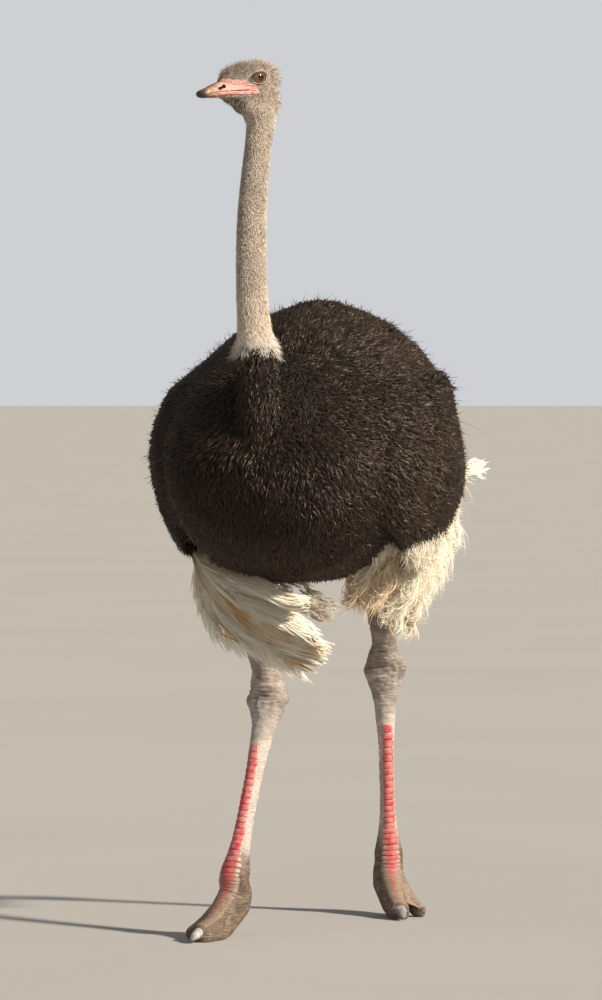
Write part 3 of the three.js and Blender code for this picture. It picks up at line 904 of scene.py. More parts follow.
def with_fillers(points, triangles):
    """The solids with chains of balls added: down each ankle into the toes, so that the joint is full, under
    the lower bill to the throat, and along the top of each wing, so that it runs into the trunk."""
    form = bmesh.new()
    bmesh.ops.create_icosphere(form, subdivisions=4, radius=1.0)
    ball_mesh = bpy.data.meshes.new("ball")
    form.to_mesh(ball_mesh)
    form.free()
    ball, faces = arrays_of(ball_mesh)
    bpy.data.meshes.remove(ball_mesh)
    chains = []
    for side in SIDES:
        hock, joint = row(LEGS[side]["hock"]), row(LEGS[side]["ball"])
        line = [hock + (joint - hock) * t for t in (0.80, 0.90, 1.0)]
        chains.append((line + list(in_foot(side, [(0, 12, 98), (0, -10, 84)])), ANKLE_RADII))
    chains.append((list(from_head(THROAT_LINE)), THROAT_RADII))
    out, high = SHOULDER
    for x in (-out, out):
        chains.append(([(x, y, high) for y in (-0.30, -0.18, -0.06, 0.06)], SHOULDER_RADII))
    for line, radii in chains:
        line, _ = curve_through(line, CHAIN_BALLS)
        for at, radius in zip(line, np.interp(np.linspace(0, 1, CHAIN_BALLS), *radii)):
            triangles = np.vstack([triangles, faces + len(points)])
            points = np.vstack([points, at + ball * radius])
    return points, triangles


def rough_skin(size):
    """The solids of flesh, bill, eyes and claws as one mesh, coarse on the trunk, where feathers hide it, and
    fine on the head."""
    points, triangles, _ = solids_of(FLESH_NODES + BILL_NODES + EYE_NODES + CLAW_NODES)
    points = points + corner_normals(points, triangles) * 0.5 * MM
    points, triangles = with_fillers(points, triangles)
    points, triangles = through_modifier(points, triangles, "REMESH", mode="VOXEL", voxel_size=size.voxel)
    points = relaxed(points, triangles, 8)
    height = points[:, 2]
    low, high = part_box("trunk")
    column = np.hypot(points[:, 0], points[:, 1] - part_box("neck_lower")[0][1]) < 0.11
    trunk = (height > low[2] - 0.01) & (height < high[2] + 0.02) & ~(column & (height > 1.34))
    share = trunk.sum() / len(points)
    points, triangles = through_modifier(
        points, triangles, "DECIMATE", weights=trunk.astype(float), ratio=(1 - share) + share * TRUNK_KEPT,
        vertex_group="weights", vertex_group_factor=1000.0,
    )
    for reach in (105, 85):
        local = to_head(points)
        chosen = (np.linalg.norm(local - [0, -30, -8], axis=1) < reach) & (local[:, 2] < 34)
        points, triangles = finer(points, triangles, chosen)
    return points, triangles


def without_hollows(points, triangles, on):
    """The hollows where wings meet the trunk, and the joints over the toes, filled out."""
    height = points[:, 2]
    points = relaxed(points, triangles, 6, hold=0.85 * (on["toe"] + on["bill"] + on["claw"]))
    crease = on["coat"] * (height < 1.43) * (np.abs(points[:, 0]) > 0.11)
    points = filled(points, triangles, 380, spread_out(crease, triangles, 3))
    ankle = np.zeros(len(points))
    for side in SIDES:
        away = np.linalg.norm(points - row(LEGS[side]["ball"]) + [0, 0, 0.01], axis=1)
        ankle = np.maximum(ankle, 1 - ease(away, 0.06, 0.10))
    ankle = ankle * (on["leg"] + on["toe"])
    points = filled(points, triangles, 160, ankle)
    return relaxed(points, triangles, 6, hold=1 - ankle)


def skin_zones(points, triangles, on, height):
    """What the skin is at each point, as shares from 0 to 1."""
    black = on["coat"] + on["neck_base"] + on["neck"] * (height < BLACK_TO)
    coat = spread_out(np.minimum(black, 1), triangles, 2)
    leg = spread_out(on["leg"] + on["toe"] + on["claw"], triangles, 3)
    foot = ease(0.215 - height + 0.03 * (lumps(points, 0.03, 6) - 0.5), -0.03, 0.07) * leg
    face = np.maximum(face_share(points), lid_share(points))
    local = to_head(points)
    _, y, z = local.T
    # Painted shade: a dark line in the slit between the bill's halves, and dark skin in the gap between each
    # eye and its lids.
    slit = 1 - ease(np.abs(z - np.interp(y, *MOUTH_LINE)), 1.0, 2.2)
    gap_shade = spread_out(on["bill"], triangles, 1) * slit * (y < -12)
    in_lids = (1 - ease(lid_reach(y, z), 0.98, 1.08)) * eye_side(local)
    gap_shade = np.maximum(gap_shade, in_lids * (np.linalg.norm(local, axis=1) < 60))
    chin = on["bill"] * ease(y, -92, -80) * (1 - ease(z, -34, -30))
    down = np.clip(on["neck"] + on["head"] + chin, 0, 1) * (1 - (coat > 0.5))
    down = spread_out(down, triangles, 2) * (1 - face)
    return {"coat": coat, "down": down, "face": face, "leg": leg, "foot": foot, "gap_shade": gap_shade}


def covered_depth(points, triangles, on, zones, height):
    """How far the skin lies inside the solids, in metres: by the feathers' depth, and under horn and eyes."""
    size = sizes()
    local = to_head(points)
    _, y, z = local.T
    bare = (1 - zones["face"]) * (1 - zones["leg"])
    depth = on["coat"] * size.coat_depth + on["neck_base"] * size.neck_coat_depth
    high_up = 0.7 + 1.05 * ease(z, 12, 34)
    depth += on["neck"] * size.down_depth + on["head"] * size.head_depth * (1 - zones["face"]) * high_up
    shoulder = bell(height, 1.24, 0.11) * ease(points[:, 0], 0.25, 0.33) * 0.026
    shoulder += bell(height, 1.27, 0.06) * ease(-points[:, 0], 0.27, 0.33) * 0.008
    depth = spread_out(depth + on["coat"] * shoulder, triangles, 24)
    depth = np.where(height > 1.5, np.minimum(depth, size.head_depth * high_up), depth) * bare
    in_bill = 0.7 * (1 - ease(y, *BILL_REAR)) + 1.5 * (1 - ease(y, -92, -74))
    hidden = np.maximum(on["bill"] * in_bill, np.maximum(on["claw"], on["eye"]) * 1.6) * MM
    depth = np.maximum(depth, spread_out(hidden, triangles, 1))
    to_nostril = to_polyline(flat_side(local), NOSTRIL)[0]
    return np.maximum(depth, on["bill"] * (1 - ease(to_nostril, 5.5, 8.5)) * 6 * MM)


def make_skin():
    points, triangles = rough_skin(sizes())
    label = zone_labels(points)
    on = {name: (label == name).astype(float) for name in np.unique(label)}
    height = points[:, 2]
    points = without_hollows(points, triangles, on)
    zones = skin_zones(points, triangles, on, height)
    local = to_head(points)
    depth = covered_depth(points, triangles, on, zones, height)
    normals = corner_normals(points, triangles)
    shown = (1 - on["bill"] * (1 - ease(local[:, 1], *BILL_REAR))) * (1 - on["eye"])
    points = points + normals * (head_details(points, zones["face"]) * shown - depth)[:, None]
    rise, zones["shade"] = leg_details(points, normals, zones["leg"] * (1 - on["claw"]))
    rise = rise - 1.2 * MM * zones["leg"] * (1 - zones["foot"])
    points = points + normals * rise[:, None]
    points[:, 2] = np.maximum(points[:, 2], CAD_BOX[0][2])
    zones["fold"] = fold_tone(local)
    made = new_mesh("skin", within_box(points), triangles, None, zones)
    unwrap(made)
    return piece(made, skin_finish(), "bare_skin", *FLESH_NODES)


def unwrap(made):
    made.data.uv_layers.new(name=BAKE_MAP)
    bpy.ops.object.select_all(action="DESELECT")
    bpy.context.view_layer.objects.active = made
    made.select_set(True)
    bpy.ops.object.mode_set(mode="EDIT")
    bpy.ops.mesh.select_all(action="SELECT")
    bpy.ops.uv.smart_project(angle_limit=1.15, island_margin=0.004)
    bpy.ops.object.mode_set(mode="OBJECT")
    made.select_set(False)


# ---- horn: bill and claws
def smooth_copy(node, voxel):
    """The points and triangles of a CAD node, made even and smooth."""
    points, triangles, _ = solids_of([node])
    points, triangles = through_modifier(points, triangles, "REMESH", mode="VOXEL", voxel_size=voxel)
    return relaxed(points, triangles, 8), triangles


def nostril_share(local):
    """1 in the two-lobed hole of each nostril."""
    far, along = to_polyline(flat_side(local), NOSTRIL)
    half = 2.5 + 0.4 * along + 1.5 * np.abs(along * 2 - 1) ** 1.5
    return 1 - ease(far, half * 0.75, half * 1.15)


def bill_finish():
    paint = colours()
    made = Finish("bill horn", roughness=0.4, coat_roughness=0.4)
    back, hole, ridge = (made.value(label) for label in ("back", "nostril", "ridge"))
    streak = made.noise(70, 4, vector=made.node(
        "Mapping", {"vector_type": "POINT"},
        {"Vector": made.place(), "Rotation": (0, 0, -HEAD_TURN), "Scale": (2.5, 0.5, 2.5)},
    ))
    pink = made.mix(streak.clamped(0.35, 0.65), shaded(paint.face, 0.9), (0.74, 0.44, 0.35))
    pink = made.with_folds(pink)
    ochre = made.mix(streak.clamped(0.4, 0.62), (0.27, 0.165, 0.09), (0.46, 0.30, 0.20))
    tip = made.mix(streak.clamped(0.3, 0.7), (0.026, 0.018, 0.014), (0.085, 0.06, 0.042))
    wobble = (streak - 0.5) * 0.25
    shown = made.mix((back + wobble).clamped(0.22, 0.46), ochre, pink)
    shown = made.mix((back + wobble).clamped(0.09, 0.20), tip, shown)
    shown = made.mix(ridge * 0.8, shown, (0.075, 0.048, 0.036))
    shown = made.mix(made.value("red") * 0.62, shown, (0.56, 0.13, 0.11))
    # Painted shade: the nostril's hole is near black inside.
    made.set("Base Color", made.mix(hole.clamped(0.12, 0.4), shown, (0.004, 0.003, 0.003)))
    made.set("Roughness", 0.36 + 0.22 * streak + 0.6 * hole)
    made.set("Coat Weight", 0.12 * (1 - hole.clamped(0.02, 0.2)))
    made.bump(streak + made.noise(500, 2) * 0.25, 0.45, 0.0009)
    return made


def bill_values(points):
    local = to_head(points)
    _, y, z = local.T
    upper = z > np.interp(y, *MOUTH_LINE)
    top = np.interp(y, [-151, -120, -98, -78, -56], [-14, -3.5, 2, 7, 8])
    ridge = ease(z, top - 4.5, top - 0.5) * (1 - ease(y, -84, -72)) * upper
    slant = (z + 12) * 0.5 * upper
    return {
        "back": np.clip((y + 151 - slant) / 121, 0, 1),
        "nostril": nostril_share(local) * upper,
        "ridge": ridge,
        "fold": fold_tone(local),
        "red": ~upper * ease(y, -118, -90) * np.exp(-(((z + 29.5) / 3.4) ** 2)),
    }


def bill_shift(points, normals):
    """A slimmer tip with its nail, the groove before the nostril, the hole, folds towards the cheek, and the
    rear edge sinking into the skin."""
    local = to_head(points)
    _, y, z = local.T
    level = np.interp(y, *MOUTH_LINE)
    upper = z > level
    side = np.abs(normals @ HEAD[:, 0]) > 0.25
    slim = ease(-y, 104, 146) * 0.24
    down = -(z - level) * slim
    nail = ease(-y, 127, 131) * 0.5
    groove_line = np.array([(20, -130, -14), (20, -112, -14), (20, -100, -13.5), (20, -76, -5)])
    flat = flat_side(local)
    groove = -0.9 * np.exp(-((to_polyline(flat, groove_line)[0] / 1.7) ** 2))
    hole = -3.4 * nostril_share(local)
    rim = 0.7 * np.exp(-(((to_polyline(flat, NOSTRIL)[0] - 5.6) / 1.4) ** 2))
    folds, strength = fold_share(local)
    out = nail + (groove + hole + rim) * side * upper + (folds * 1.5 - 0.5) * strength
    out = out - 2.0 * ease(y, BILL_REAR[0] + 8, BILL_REAR[1] + 12)
    return (normals * out[:, None] + HEAD[:, 2] * down[:, None]) * MM


CLAW_TIP = (0, -193, 7.5)  # in the foot's own millimetres


def claw_finish():
    made = Finish("claw horn", roughness=0.42, coat_weight=0.12)
    streak = made.noise(120, 4, vector=made.stretched((2.0, 0.6, 2.0))).clamped(0.3, 0.7)
    pale = made.mix(streak, (0.34, 0.31, 0.29), (0.62, 0.57, 0.51))
    shown = made.mix(made.noise(38, 3).clamped(0.42, 0.62), pale, (0.16, 0.165, 0.20))
    # Darker grey towards the claw's tip.
    made.set("Base Color", made.mix(made.value("darker_near_tip"), shown, (0.20, 0.18, 0.17)))
    made.set("Roughness", 0.38 + 0.25 * streak)
    made.bump(streak, 0.5, 0.0008)
    return made


# ---- eyes
def eye_finish():
    made = Finish("eye", roughness=0.12, coat_weight=1.0, coat_roughness=0.02, specular_ior_level=0.6)
    away, turn = made.value("away"), made.value("turn")
    spokes = made.noise(3.2, 5, vector=made.node(
        "CombineXYZ", None, {0: turn * 9.0, 1: away * 1.3, 2: 0.0}
    )).clamped(0.3, 0.7)
    iris = made.mix(spokes, (0.060, 0.020, 0.006), (0.26, 0.105, 0.030))
    iris = made.mix(away.clamped(0.42, 0.62), iris, (0.014, 0.007, 0.004))
    shown = made.mix(away.clamped(0.23, 0.27), (0.0015, 0.0012, 0.001), iris)
    white = made.mix(spokes, (0.10, 0.055, 0.045), (0.22, 0.14, 0.12))
    shown = made.mix(away.clamped(0.66, 0.70), shown, (0.01, 0.007, 0.006))
    made.set("Base Color", made.mix(away.clamped(0.76, 0.80), shown, white))
    return made


def make_eye(side):
    """A smooth globe with a raised clear front. away is 0 in the pupil's middle and 1 at the side."""
    rings, spokes = 40, 64
    angles = np.linspace(0, math.pi, rings)
    turns = np.linspace(0, 2 * math.pi, spokes, endpoint=False)
    polar, turn = np.meshgrid(angles[1:-1], turns, indexing="ij")
    globe = np.stack([np.cos(polar), np.sin(polar) * np.cos(turn), np.sin(polar) * np.sin(turn)], -1)
    globe = np.vstack([[1, 0, 0], globe.reshape(-1, 3), [-1, 0, 0]])
    front = np.clip(globe[:, 0], 0, 1)
    bulge = 1 + 0.035 * ease(front, 0.72, 0.95)
    inward = 1 if side == "left" else -1
    local = globe * EYE_RADIUS * bulge[:, None] * [EYE_SQUASH * inward, 1, 1]
    points = local @ HEAD.T + EYES[side]
    here = np.arange(spokes)
    after = (here + 1) % spokes
    last = len(points) - 1
    front_cap = np.stack([here * 0, 1 + here, 1 + after], 1)
    rear_cap = np.stack([last - spokes + here, here * 0 + last, last - spokes + after], 1)
    faces = np.vstack([front_cap, grid_faces(rings - 2, spokes, closed=True) + 1, rear_cap])
    if inward < 0:
        faces = faces[:, ::-1]
    polar = np.arccos(np.clip(globe[:, 0], -1, 1))
    turn = np.arctan2(globe[:, 2], globe[:, 1])
    values = {"away": polar / (math.pi / 2), "turn": np.abs(turn) / math.pi}
    return new_mesh(f"eye_{side}_globe", within_box(points), faces, None, values)


LID_PROFILE = [
    # share of the opening, height over the globe or skin (mm)
    (0.95, -0.6), (0.97, 0.3), (1.01, 0.85), (1.06, 1.1), (1.12, 1.15), (1.18, 0.75), (1.24, 0.75),
    (1.33, 1.15), (1.46, 0.9), (1.60, 0.2), (1.76, -1.2),
]


def lid_finish():
    paint = colours()
    made = Finish("eyelid", roughness=0.45)
    out, upper = made.value("out"), made.value("upper")
    grain = made.noise(300, 3).clamped(0.3, 0.7)
    rim = made.mix(grain, (0.50, 0.33, 0.29), (0.68, 0.52, 0.46))
    dark = made.mix(grain, (0.022, 0.014, 0.011), (0.075, 0.05, 0.038))
    skin = made.mix(grain, (0.30, 0.19, 0.14), shaded(paint.down, 0.8))
    # Painted shade: dark over the upper lid and the front corner, along the rim's inner edge against the
    # globe, and in the crease outside the rim.
    pale = made.mix(upper * 0.92, rim, dark)
    shown = made.mix(out.clamped(0.05, 0.09), dark, pale)
    shown = made.mix(out.clamped(0.18, 0.23), shown, dark)
    shown = made.mix(out.clamped(0.31, 0.48), shown, skin)
    made.set("Base Color", shown)
    made.set("Roughness", 0.35 + 0.3 * grain)
    made.bump(made.noise(260, 4), 0.5, 0.0007)
    return made


def make_lids(side):
    """Both lids of one eye as one ring: the rolled rim on the globe, a crease, and a soft outer fold."""
    inward = 1 if side == "left" else -1
    count = 72
    turns = np.linspace(0, 2 * math.pi, count, endpoint=False)
    rows = []
    for share, height in LID_PROFILE:
        y = np.cos(turns) * EYE_OPEN[0]
        z = np.sin(turns) * np.where(np.sin(turns) > 0, EYE_OPEN[1], EYE_OPEN[2])
        front = np.clip(-np.cos(turns), 0, 1) ** 6
        y = (y - EYE_CORNER * front) * share
        z = z * share - 1.8 * front * (share < 1.6)
        inside = np.clip(1 - (y**2 + z**2) / (EYE_RADIUS / MM) ** 2, 0, 1)
        globe_x = 25 + EYE_RADIUS / MM * EYE_SQUASH * np.sqrt(inside) + 0.25
        skin_x = np.empty(count)
        for i in range(count):
            origin = from_head([inward * 70, y[i], z[i]])
            hit = Holder.skin.tree.ray_cast(Vector(origin), Vector(-inward * HEAD[:, 0]))[0]
            skin_x[i] = abs(to_head(np.array(hit)[None])[0, 0]) if hit else 34
        base = np.where(inside > 0.02, np.maximum(globe_x, skin_x), skin_x)
        rows.append(np.stack([inward * (base + height), y, z], 1))
    rows = np.array(rows)
    rows[:, :, 0] = (rows[:, :, 0] * 2 + np.roll(rows[:, :, 0], 1, 1) + np.roll(rows[:, :, 0], -1, 1)) / 4
    points = from_head(rows.reshape(-1, 3))
    faces = grid_faces(len(LID_PROFILE), count, closed=True)
    faces = faces if inward < 0 else faces[:, ::-1]
    out = np.repeat([share - LID_PROFILE[0][0] for share, _ in LID_PROFILE], count)
    # Painted shade over the upper lid and in the front corner, stored as upper.
    dark = np.maximum(ease(np.sin(turns), -0.15, 0.35), ease(-np.cos(turns), 0.72, 0.92))
    made = new_mesh(
        f"lids_{side}", within_box(points), faces, None,
        {"out": out, "upper": np.tile(dark, len(LID_PROFILE))}
    )
    smoother = made.modifiers.new("round", "SUBSURF")
    smoother.levels = smoother.render_levels = 1
    return made


def make_lashes(rng):
    """Dark bristles along the upper lid's edge."""
    roots, start, lie, facing = [], [], [], []
    for side in SIDES:
        inward = 1 if side == "left" else -1
        for turn in np.linspace(math.radians(18), math.radians(172), 34):
            y, z = math.cos(turn) * EYE_OPEN[0] * 1.08, math.sin(turn) * EYE_OPEN[1] * 1.08
            inside = max(0, 1 - (y * y + z * z) / (EYE_RADIUS / MM) ** 2)
            x = 26.6 + EYE_RADIUS / MM * EYE_SQUASH * math.sqrt(inside)
            roots.append(from_head([inward * x, y, z]))
            out = np.array([inward * 1.0, y / 26, 0.12 + z / 60])
            start.append(HEAD @ out)
            lie.append(HEAD @ np.array([inward * 0.55, y / 14, 0.95]))
            facing.append(HEAD @ np.array([0.0, 1.0, 0.2]))
    roots, start, lie, facing = map(np.array, (roots, start, lie, facing))
    count = len(roots)
    length_of = rng.uniform(4.5, 8.0, count) * MM
    lines = grow(roots, unit(start) + rng.normal(0, 0.12, (count, 3)), unit(lie), length_of, 4, 0.3)
    uv = Holder.skin.nearest(roots)[2]
    finish = Finish("lash", roughness=0.5)
    finish.set(
        "Base Color",
        finish.mix(finish.noise(400).clamped(0.3, 0.7), (0.008, 0.006, 0.005), (0.03, 0.022, 0.018))
    )
    strand_piece(
        "lashes", lines, unit(facing), taper(count, 4, 0.28 * MM, (1, 0.8, 0.5, 0)), uv, {}, finish,
        "neck_down"
    )


# ---- scutes
def scute_finish():
    paint = colours()
    made = Finish("scute", roughness=0.45, coat_weight=0.08, coat_roughness=0.45)
    edge, red = made.value("edge"), made.value("red")
    grain = made.noise(210, 4).clamped(0.3, 0.7)
    patchy = made.noise(60, 4, 0.65).clamped(0.30, 0.62)
    rose = made.mix(grain, shaded(paint.scute, 0.8), shaded(paint.scute, 1.25))
    rose = made.mix((1 - patchy) * 0.25, rose, (0.62, 0.24, 0.21))
    pale = made.mix(grain, (0.50, 0.38, 0.31), (0.72, 0.60, 0.51))
    dust = made.mix(grain, (0.175, 0.118, 0.082), (0.36, 0.265, 0.19))
    bare = made.mix(made.value("low"), pale, dust)
    shown = made.mix(red.clamped(0.12, 0.6) * (0.55 + 0.45 * patchy), bare, rose)
    # Painted shade in the sunk border where each plate meets the next, darkest low on the foot.
    gap = made.mix(red.clamped(0.1, 0.5), (0.36, 0.25, 0.20), (0.22, 0.028, 0.030))
    gap = made.mix(made.value("low"), gap, (0.060, 0.038, 0.028))
    shown = made.mix(edge.clamped(0.30, 0.95) * 0.85, shown, gap)
    made.set("Base Color", shown)
    made.set("Roughness", 0.42 + 0.28 * grain)
    made.bump(made.noise(290, 4) + made.noise(90, 3) * 0.7, 0.5, 0.0009)
    return made


SCUTE_ROWS = (-1.0, -0.82, -0.45, 0.0, 0.42, 0.76, 1.0)
SCUTE_COLUMNS = 13


def scute_grid(centre, front, up, reach, half_height, lift):
    """One plate that wraps the skin, as rows of points with how near the border each is. Rays come in towards
    the limb's middle line. The plate swells to a rounded crown, a little lower than its middle, and its
    border is sunk."""
    side = np.cross(up, front)
    across = np.linspace(-1, 1, SCUTE_COLUMNS)
    outs, places, reaches = [], [], []
    for v in SCUTE_ROWS:
        for u in across:
            angle = reach * u * (1 - 0.10 * v * v)
            out = front * math.cos(angle) + side * math.sin(angle)
            at = centre - up * v * half_height * (1 - 0.30 * abs(u) ** 3)
            hit = Holder.skin.tree.ray_cast(Vector(at + out * 0.09), Vector(-out))[0]
            outs.append(out)
            places.append(at)
            reaches.append(np.nan if hit is None else (np.array(hit) - at) @ out)
    reaches = np.array(reaches).reshape(len(SCUTE_ROWS), SCUTE_COLUMNS)
    reaches = np.where(np.isnan(reaches), np.nanmedian(reaches), reaches)
    for _ in range(2):
        padded = np.pad(reaches, 1, mode="edge")
        reaches = (
            padded[:-2, 1:-1] + padded[2:, 1:-1] + padded[1:-1, :-2] + padded[1:-1, 2:] + 4 * reaches
        ) / 8
    v, u = np.meshgrid(SCUTE_ROWS, across, indexing="ij")
    crown = np.sqrt(np.clip(1 - ((v - 0.2) / 1.2) ** 2, 0, 1)) * np.sqrt(np.clip(1 - np.abs(u) ** 3, 0, 1))
    border = np.maximum(np.abs(u), np.abs(v)) > 0.99
    reaches = reaches + lift * crown - PLATE_SINK * border
    points = np.array(places) + np.array(outs) * reaches.reshape(-1, 1)
    return points, np.maximum(np.abs(u) ** 5, np.abs(v) ** 3).ravel(), u.ravel()


class Plates:
    """Scutes gathered from both legs."""

    def __init__(self):
        self.points, self.edges, self.reds, self.lows = [], [], [], []

    def band(self, line, ways, rng, *, spacing, reach, red, low, lift):
        """A row of plates down a line."""
        steps = np.linalg.norm(np.diff(line, axis=0), axis=1)
        along = np.concatenate([[0.0], np.cumsum(steps)])
        travel = unit(np.gradient(line, axis=0))
        at = 0.0
        while at < along[-1]:
            share = at / along[-1]
            given = (spacing, reach, red, low, lift)
            pitch, angle, redness, dust, high = (float(np.interp(share, *rows)) for rows in given)
            middle = np.array([np.interp(at + pitch / 2, along, line[:, axis]) for axis in range(3)])
            way = np.array([np.interp(at, along, travel[:, axis]) for axis in range(3)])
            front = along_surface(ways[None], unit(way)[None])[0]
            angle = math.radians(angle + rng.uniform(-4, 4))
            points, edge, across = scute_grid(middle, front, -unit(way), angle, pitch * PLATE_HALF, high * MM)
            self.points.append(points)
            self.edges.append(edge)
            off_middle = np.abs(across + rng.uniform(-0.1, 0.1))
            self.reds.append(redness * (1 - ease(off_middle, 0.35 * redness, 0.2 + 0.85 * redness)))
            self.lows.append(np.full(len(points), dust))
            at += pitch * rng.uniform(0.94, 1.06)

    def make(self, finish):
        plate = grid_faces(len(SCUTE_ROWS), SCUTE_COLUMNS)
        starts = np.arange(len(self.points)) * len(SCUTE_ROWS) * SCUTE_COLUMNS
        faces = (plate[None] + starts[:, None, None]).reshape(-1, 3)
        values = {"edge": self.edges, "red": self.reds, "low": self.lows}
        values = {label: np.concatenate(numbers) for label, numbers in values.items()}
        piece(new_mesh("scutes", within_box(np.vstack(self.points)), faces, None, values), finish, "shin")


# Shares of the line's length, and the value at each: distance between plates (m), how far round the limb they
# reach (degrees), how red and how dusty they are, and how high they stand (mm).
SHANK_PLATES = {
    "spacing": ([0, 0.3, 0.55, 0.68, 0.75, 1], [0.0185, 0.0155, 0.0125, 0.008, 0.0066, 0.0056]),
    "reach": ([0, 0.03, 0.5, 0.6, 0.68, 0.8, 1], [34, 54, 56, 46, 46, 56, 56]),
    "red": ([0, 0.5, 0.60, 0.70, 0.82, 1], [1, 1, 0.66, 0.45, 0.34, 0.15]),
    "low": ([0, 0.48, 0.60, 0.7], [0, 0.15, 0.8, 1]),
    "lift": ([0, 0.5, 0.7, 1], [2.3, 2.1, 1.9, 1.5]),
}
OUTER_TOE_PLATES = {
    "spacing": ([0, 1], [0.0075, 0.0055]), "reach": ([0, 1], [58, 52]), "red": ([0, 1], [0.18, 0.0]),
    "low": ([0, 1], [1, 1]), "lift": ([0, 1], [1.2, 0.9]),
}
PLATE_HALF = 0.565  # half a plate's height, as a share of the distance between plates
PLATE_SINK = 0.0014  # how far a plate's border is sunk


def make_scutes(rng):
    plates = Plates()
    for side in SIDES:
        hock, ball = row(LEGS[side]["hock"]), row(LEGS[side]["ball"])
        ways = unit(facing_way(side) + UP * 0.9)
        shank = [hock + (ball - hock) * t for t in (0.29, 0.42, 0.55, 0.68, 0.80, 0.90)]
        over_toe = in_foot(
            side, [(0, 6, 112), (0, -14, 86), (0, -44, 64), (0, -84, 40), (0, -122, 27), (0, -146, 22)]
        )
        line, _ = curve_through([*shank, *over_toe], 120)
        plates.band(line, ways, rng, **SHANK_PLATES)
        line, _ = curve_through(in_foot(side, OUTER_TOE_LINE), 60)
        plates.band(line[6:52], ways, rng, **OUTER_TOE_PLATES)
    plates.make(scute_finish())


# ---- black coat
def black_finish():
    paint = colours()
    made = Finish(
        "black feathers", roughness=0.46, specular_ior_level=0.34, specular_tint=(1.0, 0.82, 0.68, 1.0)
    )
    tone, place = made.value("tone"), made.value("place")
    # The lighter brown tips, patchy under a noise, are partly the feathers' own brown and partly painted
    # glints on the curled tips.
    dust_and_painted_light = made.noise(7.5, 3).clamped(0.46, 0.70)
    deep = made.mix(tone, paint.black, (0.022, 0.0138, 0.0098))
    tip = made.mix(dust_and_painted_light, shaded(paint.tip_brown_and_glint, 0.24), paint.tip_brown_and_glint)
    share = place.clamped(0.3, 1.0) * (0.10 + 0.85 * tone.clamped(0.5, 1.0))
    beige = made.value("beige")
    shown = made.mix(share, deep, tip)
    made.set("Base Color", made.mix(beige * (0.35 + 0.65 * tone), shown, (0.36, 0.25, 0.16)))
    made.set("Roughness", 0.36 + 0.26 * made.noise(90, 2))
    return made


def body_flow(points, normals):
    """The lie of the black feathers: down the neck's foot, then out over the body from it, back and down."""
    source = row([0, -470, 1265])
    flow = unit(points - source) - UP * 0.22
    column = row([0, -440, 1300])
    on_neck = ease(points[:, 2], 1.17, 1.27) * (
        1 - ease(np.hypot(points[:, 0], points[:, 1] - column[1]), 0.10, 0.16)
    )
    flow = flow * (1 - on_neck)[:, None] - UP * on_neck[:, None]
    return along_surface(flow, normals), on_neck


WING_EDGE = {"left": (-0.34, -0.14), "right": (0.0, 0.12)}  # where along y the white edge begins and is full
LOCK_RINGS = 5
COAT_PARTS = ("chest", "shoulders", "flanks", "rump")  # from front to rear
COAT_CUTS = (-0.35, -0.13, 0.12)  # where along y one part gives way to the next


def wing_edge(points):
    """1 on the lower edge of each wing, where its white feathers show under the black ones."""
    share = np.zeros(len(points))
    for side in SIDES:
        wing, _, _ = solids_of([f"wing_{side}"])
        marks = np.arange(wing[:, 1].min(), wing[:, 1].max(), 0.02)
        low = [wing[np.abs(wing[:, 1] - mark) < 0.03][:, 2].min() for mark in marks]
        outward = points[:, 0] if side == "left" else -points[:, 0]
        high = 0.046 + 0.02 * (lumps(points, 0.03, 17) - 0.5) + 0.045 * ease(points[:, 1], -0.06, 0.10)
        high = high * ease(points[:, 1], *WING_EDGE[side])
        rim = np.interp(points[:, 1], marks, low)
        near = (outward > 0.19) & (points[:, 1] < marks[-1] + 0.02) & (points[:, 2] > rim - 0.03)
        share = np.maximum(share, near * (high > 0.012) * (points[:, 2] < rim + high))
    return share


def make_coat(rng):
    size = sizes()
    skin = Holder.skin
    bed = Bed(size.lock_spacing, (skin.zones["coat"] > 0.5) & (wing_edge(skin.points) < 0.5), rng)
    roots, count = bed.roots, bed.count
    flow, on_neck = body_flow(roots, bed.out)
    bed.lay(flow)
    unruly = 0.35 + 0.65 * ease(roots[:, 0], -0.06, 0.12)
    veer = ((lumps(roots, 0.026, 11) - 0.5) * 1.5 + (lumps(roots, 0.07, 12) - 0.5) * 0.8) * unruly
    bed.lay(unit(flow + bed.across * (veer + rng.normal(0, 0.22, count))[:, None]))
    start = bed.out * 0.85 + bed.flow * bed.uniform(0.5, 1.0)
    lie = unit(bed.flow + bed.out * bed.uniform(-0.12, 0.16))
    long = size.lock_length * rng.uniform(0.75, 1.25, count) * (1 - 0.3 * on_neck)
    axis = unit(bed.out * bed.normal(1.0) + bed.across * bed.normal(0.5, 0.1))
    lines = grow(roots, start, lie, long, LOCK_RINGS, 0.42, axis, rng.uniform(0.1, 1.1, count) * unruly)
    facing = unit(bed.out + bed.across * bed.normal(0.5))
    half = size.lock_width / 2 * rng.uniform(0.65, 1.3, count)
    widths = taper(count, LOCK_RINGS, half, (0.7, 1.0, 1.0, 0.85, 0.5, 0.0))
    tone = np.clip(rng.normal(0.45, 0.25, count) + (lumps(roots, 0.10, 21) - 0.5) * 0.5, 0, 1)
    reach = np.hypot(roots[:, 0] - 0.01, roots[:, 1] - COLLAR_Y)
    beige = ease(roots[:, 2], 1.31, 1.40) * (1 - ease(reach, 0.07, 0.09)) * (rng.random(count) < 0.45)
    beige = beige * ease(lumps(roots * [1, 1, 0.3], 0.014, 23), 0.35, 0.7)
    finish = black_finish()
    where = np.searchsorted(COAT_CUTS, roots[:, 1], side="right")
    for index, part in enumerate(COAT_PARTS):
        for label, half_of in (("left", roots[:, 0] >= 0), ("right", roots[:, 0] < 0)):
            own = (where == index) & half_of
            values = {"tone": tone[own], "beige": beige[own]}
            name = f"black_coat_{part}_{label}"
            strand_piece(
                name, lines[own], facing[own], widths[own], bed.uv[own], values, finish, "black_plumage"
            )


